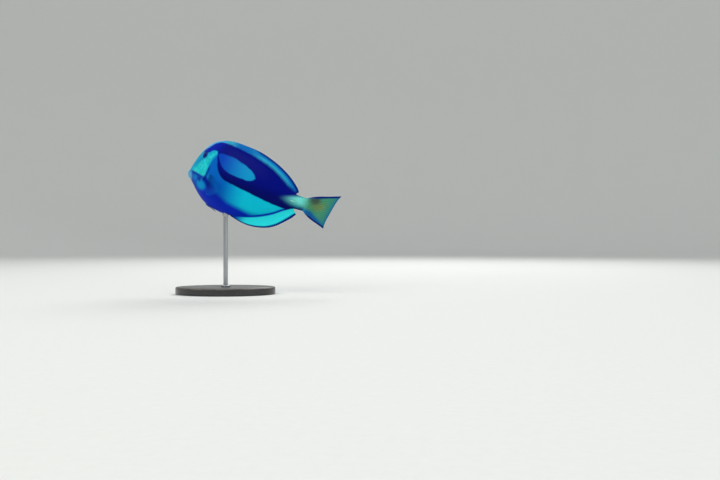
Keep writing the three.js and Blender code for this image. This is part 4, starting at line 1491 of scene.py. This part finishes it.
class TANG_OT_skin(bpy.types.Operator):
    """Skin of head, body and all fins, in one piece"""

    bl_idname = "tang.skin"
    bl_label = "Skin"

    def execute(self, context):
        size = context.scene.tang_sizes
        base, skin, (kind, reach, ray), faces = both_halves(right_half(size))
        for points, fin_faces, fin_kind, fin_reach, fin_ray in paired_fins(size):
            first = len(base)
            base, skin = np.concatenate([base, points]), np.concatenate([skin, points])
            kind = np.concatenate([kind, np.full(len(points), fin_kind)])
            reach = np.concatenate([reach, np.clip(fin_reach, 0, 1)])
            ray = np.concatenate([ray, fin_ray])
            faces = faces + [tuple(first + v for v in face) for face in fin_faces]
        stores = (base, skin, kind, reach, ray)
        faces, (base, skin, kind, reach, ray) = without_strays(faces, stores)
        fields = dict(marking_fields(base, kind, reach, size), straight=base, ray=ray)
        slots = [max(MATERIAL_OF[k] for k in kind[list(face)].tolist()) for face in faces]
        fins = [fin_material("tang_fin"), fin_material("tang_fin_clear", clear=True)]
        materials = [skin_material(), *fins, mouth_material()]
        piece = make_piece("tang_skin", placed(skin, size), faces, fields, materials, slots)
        flesh = ["head", "trunk", "tail_stalk", "upper_lip", "lower_lip"]
        flesh += ["dorsal_fin", "anal_fin", "caudal_fin"]
        for side in ("left", "right"):
            flesh += [f"gill_cover_{side}", f"pectoral_fin_{side}", f"pelvic_fin_{side}"]
        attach(piece, "root")
        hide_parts(*flesh)
        return {"FINISHED"}


def eye_material():
    """Deep blue iris and darker pupil under a damp surface."""
    material, s, shader = new_material(
        "tang_eye", Specular_IOR_Level=0.08, Coat_Weight=0.1, Coat_Roughness=0.04
    )
    away = s.field("gaze")
    strands = s.noise(s.field("straight", True), 700, 3)
    pupil = s.rise(s.plus(away, s.times(strands, 0.12)), 1.95, 1.75)
    ring = s.times(s.rise(away, 1.8, 1.95), s.rise(away, 2.3, 2.05))
    colour = s.layered(
        s.mix(strands, linear(1, 12, 104), linear(2, 28, 150)),
        (s.times(ring, 0.3), linear(20, 80, 190)),
        (s.rise(away, 2.9, 3.5), linear(2, 14, 92)),
        (pupil, linear(0, 5, 62)),
    )
    roughness = s.line(strands, 0.2, 0.15)
    s.feed(shader, Base_Color=colour, Roughness=roughness, Normal=s.bump(strands, 0.00002, 0.4))
    return material


class TANG_OT_eyes(bpy.types.Operator):
    """Eyeballs set in their orbits"""

    bl_idname = "tang.eyes"
    bl_label = "Eyes"

    def execute(self, context):
        size = context.scene.tang_sizes
        material = eye_material()
        centre, out = rooted_at(*EYE)
        ahead = np.cross(out, [0, 0, 1.0])
        ahead /= np.linalg.norm(ahead)
        up = np.cross(ahead, out)
        rows, around = 48, 72
        profile = [(math.sin(a), math.cos(a)) for a in np.linspace(0, math.pi, rows + 1)]
        unit, faces = lathe(profile, around)
        away = np.hypot(unit[:, 0], unit[:, 1]) * size.eye_radius
        cornea = 0.00022 * falls(away, 0.0012, 0.0031) * (unit[:, 2] > 0)
        depth = unit[:, 2] * size.eye_half_depth + cornea - size.eye_sink
        across = unit[:, :1] * ahead + unit[:, 1:2] * up
        local = (across * size.eye_radius + depth[:, None] * out) / size.standard_length
        fields = dict(gaze=away / MM, straight=unit * 0.03)
        for side, word in SIDES:
            points = placed((centre + local) * np.array([1, side, 1]), size)
            piece = make_piece(f"tang_eye_{word}", points, faces, fields, [material])
            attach(piece, "root")
            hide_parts(f"eye_{word}")
        return {"FINISHED"}


def spine_material():
    """Smooth horn, whiter towards the point."""
    material, s, shader = new_material("tang_spine", Coat_Weight=0.5, Coat_Roughness=0.15)
    streak = s.noise(s.scaled(s.field("straight", True), (20, 260, 260)), 3, 4)
    horn = s.mix(streak, linear(104, 200, 186), linear(134, 214, 196))
    colour = s.mix(s.rise(s.field("tip"), 0.5, 1.0), horn, linear(170, 220, 202))
    roughness = s.line(streak, 0.15, 0.25)
    s.feed(shader, Base_Color=colour, Roughness=roughness, Normal=s.bump(streak, 0.00003))
    return material


class TANG_OT_spines(bpy.types.Operator):
    """Folded tail spines, slim lancets whose points lie forward"""

    bl_idname = "tang.spines"
    bl_label = "Tail spines"

    def execute(self, context):
        size = context.scene.tang_sizes
        material = spine_material()
        rows, around = 40, 24
        v = np.linspace(0, 1, rows + 1)
        swell = np.sqrt(np.clip(np.sin(math.pi * v ** 0.75), 0, 1))
        unit, faces = lathe(list(zip(swell, v)), around)
        keel = 1 + 0.12 * np.abs(unit[:, 0]) ** 3
        base = flank(np.array(SPINE["x"]), np.array(SPINE["z"])) - 0.001
        x = SPINE["x"] - (unit[:, 2] - 0.5) * SPINE["long"]
        y = base + unit[:, 0] * SPINE["thick"] * keel * 0.9
        z = SPINE["z"] + unit[:, 1] * SPINE["high"]
        for side, word in SIDES:
            straight = np.stack([x, side * y, z], 1)
            fields = dict(tip=unit[:, 2], straight=straight)
            points = placed(straight, size)
            piece = make_piece(f"tang_spine_{word}", points, faces, fields, [material])
            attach(piece, "root")
            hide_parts(f"tail_spine_{word}")
        return {"FINISHED"}


# Stand


def wear_group(name):
    """Rubbed patches and fine scratches, stronger where the rub input is high."""
    inputs = [("Place", "Vector", None), ("Rub", "Float", 0.0), ("Scratch scale", "Float", 400.0)]
    outputs = [("Worn", "Float"), ("Scratches", "Float")]
    group, s, entry, leave = new_group(name, inputs, outputs)
    worn = s.rise(s.times(s.noise(entry["Place"], 90, 4, 0.6), entry["Rub"]), 0.42, 0.62)
    drawn_out = s.scaled(entry["Place"], (0.08, 1.0, 1.0))
    s.feed(leave, Worn=worn, Scratches=s.noise(drawn_out, entry["Scratch scale"], 3))
    return group


def lacquer_material():
    """Black lacquer over open-grained wood, rubbed at its edges."""
    stand = bpy.context.scene.tang_stand
    material, s, shader = new_material("stand_lacquer", Coat_Weight=0.4, Coat_Roughness=0.16)
    place = s.node("ShaderNodeTexCoord").outputs["Object"]
    wear = s.group(built_group("Fine wear", wear_group), Place=place, Rub=s.field("rub"))
    pores = s.rise(s.noise(s.scaled(place, (14, 190, 40)), 6, 6, 0.62), 0.5, 0.62)
    wood = s.mix(s.times(pores, 0.5), stand.lacquer, linear(52, 46, 42))
    colour = s.mix(s.times(wear["Worn"], 0.7), wood, stand.worn)
    roughness = s.plus(s.line(wear["Scratches"], 0.16, 0.26), s.times(wear["Worn"], 0.2))
    normal = s.bump(s.times(pores, -1.0), 0.00006, 0.6)
    s.feed(shader, Base_Color=colour, Roughness=roughness, Normal=normal)
    return material


def steel_material():
    """Steel, brushed along the rod."""
    stand = bpy.context.scene.tang_stand
    material, s, shader = new_material("stand_steel", Metallic=1.0)
    place = s.node("ShaderNodeTexCoord").outputs["Object"]
    group = built_group("Fine wear", wear_group)
    wear = s.group(group, Place=place, Rub=s.field("rub"), Scratch_scale=900.0)
    brushed = s.noise(s.scaled(place, (900, 900, 9)), 1, 3)
    steel = s.mix(1.0, stand.steel, s.line(brushed, 0.25, 0.82), "MULTIPLY")
    colour = s.mix(s.times(wear["Worn"], 0.4), steel, linear(120, 118, 116))
    roughness = s.line(brushed, 0.25, 0.18)
    s.feed(shader, Base_Color=colour, Roughness=roughness, Normal=s.bump(brushed, 0.00002, 0.5))
    return material


# The stand's finer sizes, in metres
BASE_AROUND, BEVEL_STEPS = 144, 8
FOOT_ROUND = ((0.0009, 0.0), (0.00035, 0.0001), (0.0001, 0.00035), (0, 0.0009))
GROOVE_INSET, TOP_INSETS = 0.0075, (0.0045, 0.011)
GROOVE_CUT = (
    (-1, 0), (-1 / 2, 0.00008), (-1 / 3, 0.00045), (0, 0.0006), (1 / 3, 0.00045), (1 / 2, 0.00008),
    (1, 0),
)
BORE_SPARE, BORE_CHAMFER, BORE_FLOOR = 0.0003, 0.0004, 0.0027
ROD_ROUND, ROD_AROUND, ROD_STEPS = 0.0003, 64, 60
COLLAR_SPARE, COLLAR_EDGE, COLLAR_BORE_EDGE, COLLAR_AROUND = 0.00002, 0.0001, 0.0002, 72


def base_rows(top, bevel, groove):
    """The base's profile from its foot to past the groove, as rows of inset and height."""
    rows = [*FOOT_ROUND, (0, top - bevel - 0.0012), (0, top - bevel - 0.0004)]
    for step in range(1, BEVEL_STEPS + 1):
        turn = math.radians(90 * step / BEVEL_STEPS)
        rows.append((bevel * (1 - math.cos(turn)), top - bevel * (1 - math.sin(turn))))
    rows += [(bevel + 0.0009, top), (TOP_INSETS[0], top)]
    rows += [(GROOVE_INSET + share * groove, top - deep) for share, deep in GROOVE_CUT]
    return rows + [(TOP_INSETS[1], top)]


def base_mesh(bevel, groove):
    """Points, faces and rubbed places of the oval base, with the bore that takes the rod."""
    low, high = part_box("stand_base")
    half, centre, top = np.subtract(high, low) / 2, np.add(high, low) / 2, high[2]
    rod_low, rod_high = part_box("stand_rod")
    bore = (rod_high[0] - rod_low[0]) / 2 + BORE_SPARE
    rings, rubs = [], []
    for inset, height in base_rows(top, bevel, groove):
        rings.append(oval_ring(half[0] - inset, half[1] - inset, height, BASE_AROUND))
        on_edge = math.hypot(inset - bevel * 0.3, height - (top - bevel * 0.3)) < bevel
        rubs.append(1.15 if on_edge else 0.25)
    outer, mouth = rings[-1], oval_ring(bore, bore, top, BASE_AROUND)
    for share in (0.25, 0.5, 0.75, 0.92, 1.0):
        rings.append(lerp(outer, mouth, share))
        rubs.append(0.25)
    for height in (top - BORE_CHAMFER, BORE_FLOOR):
        rings.append(oval_ring(bore, bore, height, BASE_AROUND))
        rubs.append(0.0)
    points, faces = loft(rings, [(0, 0, 0), (0, 0, BORE_FLOOR)])
    points[:, :2] += centre[:2]
    return points, faces, np.concatenate([np.repeat(rubs, BASE_AROUND), [0, 0]])


def collar(inner, outer, bottom, tall, round_off, centre):
    """Points and faces of a turned collar with a rounded upper edge."""
    rows = [(inner, bottom), (outer - COLLAR_EDGE, bottom), (outer, bottom + COLLAR_EDGE)]
    for turn in np.radians(np.linspace(90, 0, 7)):
        inset, drop = round_off * (1 - math.sin(turn)), round_off * (1 - math.cos(turn))
        rows.append((outer - inset, bottom + tall - drop))
    rows += [(inner + COLLAR_BORE_EDGE, bottom + tall), (inner, bottom + tall - COLLAR_BORE_EDGE)]
    return loft([oval_ring(r, r, height, COLLAR_AROUND, centre) for r, height in rows])


class TANG_OT_base(bpy.types.Operator):
    """Oval base with a beveled rim and one fine groove"""

    bl_idname = "tang.stand_base"
    bl_label = "Stand base"

    def execute(self, context):
        stand = context.scene.tang_stand
        points, faces, rub = base_mesh(stand.bevel, stand.groove)
        piece = make_piece("stand_plinth", points, faces, dict(rub=rub), [lacquer_material()])
        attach(piece, "root")
        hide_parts("stand_base")
        return {"FINISHED"}


class TANG_OT_rod(bpy.types.Operator):
    """Brushed steel rod with a flange at the base and a collar under the belly"""

    bl_idname = "tang.stand_rod"
    bl_label = "Stand rod"

    def execute(self, context):
        low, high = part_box("stand_rod")
        radius = (high[0] - low[0]) / 2
        centre = ((high[0] + low[0]) / 2, (high[1] + low[1]) / 2)
        top_of_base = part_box("stand_base")[1][2]
        steel = steel_material()
        heights = np.linspace(low[2] + ROD_ROUND, high[2] - ROD_ROUND, ROD_STEPS)
        profile = [(0, low[2]), (radius - ROD_ROUND, low[2])]
        profile += [(radius, height) for height in heights]
        profile += [(radius - ROD_ROUND, high[2]), (0, high[2])]
        points, faces = lathe(profile, ROD_AROUND, centre)
        rub = 0.3 + 0.5 * falls(points[:, 2] - top_of_base, 0, 0.006)
        piece = make_piece("stand_pillar", points, faces, dict(rub=rub), [steel])
        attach(piece, "root")
        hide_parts("stand_rod")
        belly_height = placed(ROD_ENTRY_POINT, context.scene.tang_sizes)[0][2]
        for name, wider, bottom, tall, round_off in (
            ("stand_flange", 0.0026, top_of_base, 0.0016, 0.0006),
            ("stand_collar", 0.0011, belly_height - 0.0026, 0.0034, 0.0005),
        ):
            inner, outer = radius + COLLAR_SPARE, radius + wider
            points, faces = collar(inner, outer, bottom, tall, round_off, centre)
            rub = np.full(len(points), 0.6)
            made = make_piece(name, points, faces, dict(rub=rub), [steel])
            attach(made, "root")
        return {"FINISHED"}


# The studio, in metres
FLOOR_RADIUS, COVE_RADIUS, WALL_TOPS = 2.2, 0.9, (1.6, 2.6)
LIGHT_TARGET = (0.02, 0, 0.11)
LIGHTS = (
    ("key", 1.5, (-0.75, -1.05, 1.3), (1.0, 0.98, 0.95)),
    ("fill", 1.0, (1.2, -0.9, 0.7), (0.92, 0.96, 1.0)),
    ("back", 0.8, (0.35, 1.1, 1.15), (1.0, 1.0, 1.0)),
)
SKY_TINT = (0.9, 0.95, 1.0)


def paper_material(tint):
    material, s, shader = new_material("studio_paper", Roughness=0.9)
    fibre = s.noise(s.node("ShaderNodeTexCoord").outputs["Object"], 240, 4)
    darker = tuple(0.94 * level for level in tint)
    s.feed(shader, Base_Color=s.mix(fibre, darker, tint), Normal=s.bump(fibre, 0.0001, 0.2))
    return material


def add_floor(tint):
    """A round floor that turns up into a wall."""
    wall = FLOOR_RADIUS + COVE_RADIUS
    profile = [(0, 0.0)] + [(radius, 0.0) for radius in np.linspace(0.2, FLOOR_RADIUS, 12)]
    for turn in np.radians(np.linspace(8, 90, 12)):
        out, up = COVE_RADIUS * math.sin(turn), COVE_RADIUS * (1 - math.cos(turn))
        profile.append((FLOOR_RADIUS + out, up))
    profile += [(wall, height) for height in WALL_TOPS]
    points, faces = lathe(profile, 96, open_end=True)
    mesh = bpy.data.meshes.new("studio_floor")
    mesh.from_pydata(points.tolist(), [], faces)
    mesh.flip_normals()
    mesh.shade_smooth()
    mesh.materials.append(paper_material(tint))
    floor = add_object("studio_floor", mesh)


def add_lights(powers):
    for (name, wide, where, tint), power in zip(LIGHTS, powers):
        light = bpy.data.lights.new(f"studio_{name}", "AREA")
        light.energy, light.size, light.color = power, wide, tint
        lamp = add_object(f"studio_{name}", light)
        lamp.location = where
        aim = np.array(LIGHT_TARGET) - np.array(where)
        tilt = math.atan2(math.hypot(aim[0], aim[1]), -aim[2])
        lamp.rotation_euler = (tilt, 0, math.atan2(-aim[0], aim[1]))


def add_world(scene, strength):
    world = bpy.data.worlds.new("studio_world")
    world.use_nodes = True
    even_light = world.node_tree.nodes["Background"].inputs
    even_light["Color"].default_value = (*SKY_TINT, 1)
    even_light["Strength"].default_value = strength
    scene.world = world
    scene.view_settings.view_transform = "Standard"


def add_camera(stage, middle):
    """A level camera that shows the fish's middle at its place in the picture."""
    per_pixel = stage.distance / stage.focal
    camera = bpy.data.cameras.new("studio_camera")
    camera.sensor_width = 36
    camera.lens = stage.focal / stage.picture_width * camera.sensor_width
    camera.clip_start = 0.05
    viewer = add_object("studio_camera", camera)
    viewer.location = (
        middle[0] - (stage.middle_column - stage.picture_width / 2) * per_pixel,
        middle[1] - stage.distance,
        middle[2] + (stage.middle_row - stage.picture_height / 2) * per_pixel,
    )
    viewer.rotation_euler = (math.pi / 2, 0, 0)
    return viewer


class TANG_OT_stage(bpy.types.Operator):
    """Pale floor and backdrop, soft lights and the camera"""

    bl_idname = "tang.stage"
    bl_label = "Stage"

    def execute(self, context):
        scene = context.scene
        stage = scene.tang_stage
        add_floor(stage.floor)
        add_lights((stage.key, stage.fill, stage.back_light))
        add_world(scene, stage.world)
        scene.camera = add_camera(stage, fish_place(scene.tang_sizes))
        return {"FINISHED"}


OPERATORS = (TANG_OT_skin, TANG_OT_eyes, TANG_OT_spines, TANG_OT_base, TANG_OT_rod, TANG_OT_stage)


class TANG_PT_panel(bpy.types.Panel):
    """Lists the pieces of the model"""

    bl_idname = "TANG_PT_panel"
    bl_label = "Blue tang"
    bl_space_type = "VIEW_3D"
    bl_region_type = "UI"
    bl_category = "Blue tang"

    def draw(self, context):
        for operator in OPERATORS:
            self.layout.operator(operator.bl_idname)


GROUPS = (
    ("tang_sizes", TangSizes), ("tang_paint", TangPaint), ("tang_stand", TangStand),
    ("tang_stage", TangStage),
)


def register():
    for name, group in GROUPS:
        bpy.utils.register_class(group)
        setattr(bpy.types.Scene, name, PointerProperty(type=group))
    for kind in (*OPERATORS, TANG_PT_panel):
        bpy.utils.register_class(kind)


def unregister():
    for kind in (TANG_PT_panel, *reversed(OPERATORS)):
        bpy.utils.unregister_class(kind)
    for name, group in reversed(GROUPS):
        delattr(bpy.types.Scene, name)
        bpy.utils.unregister_class(group)


def main():
    register()
    bpy.ops.tang.skin()
    bpy.ops.tang.eyes()
    bpy.ops.tang.spines()
    bpy.ops.tang.stand_base()
    bpy.ops.tang.stand_rod()
    bpy.ops.tang.stage()


if __name__ == "__main__":
    main()
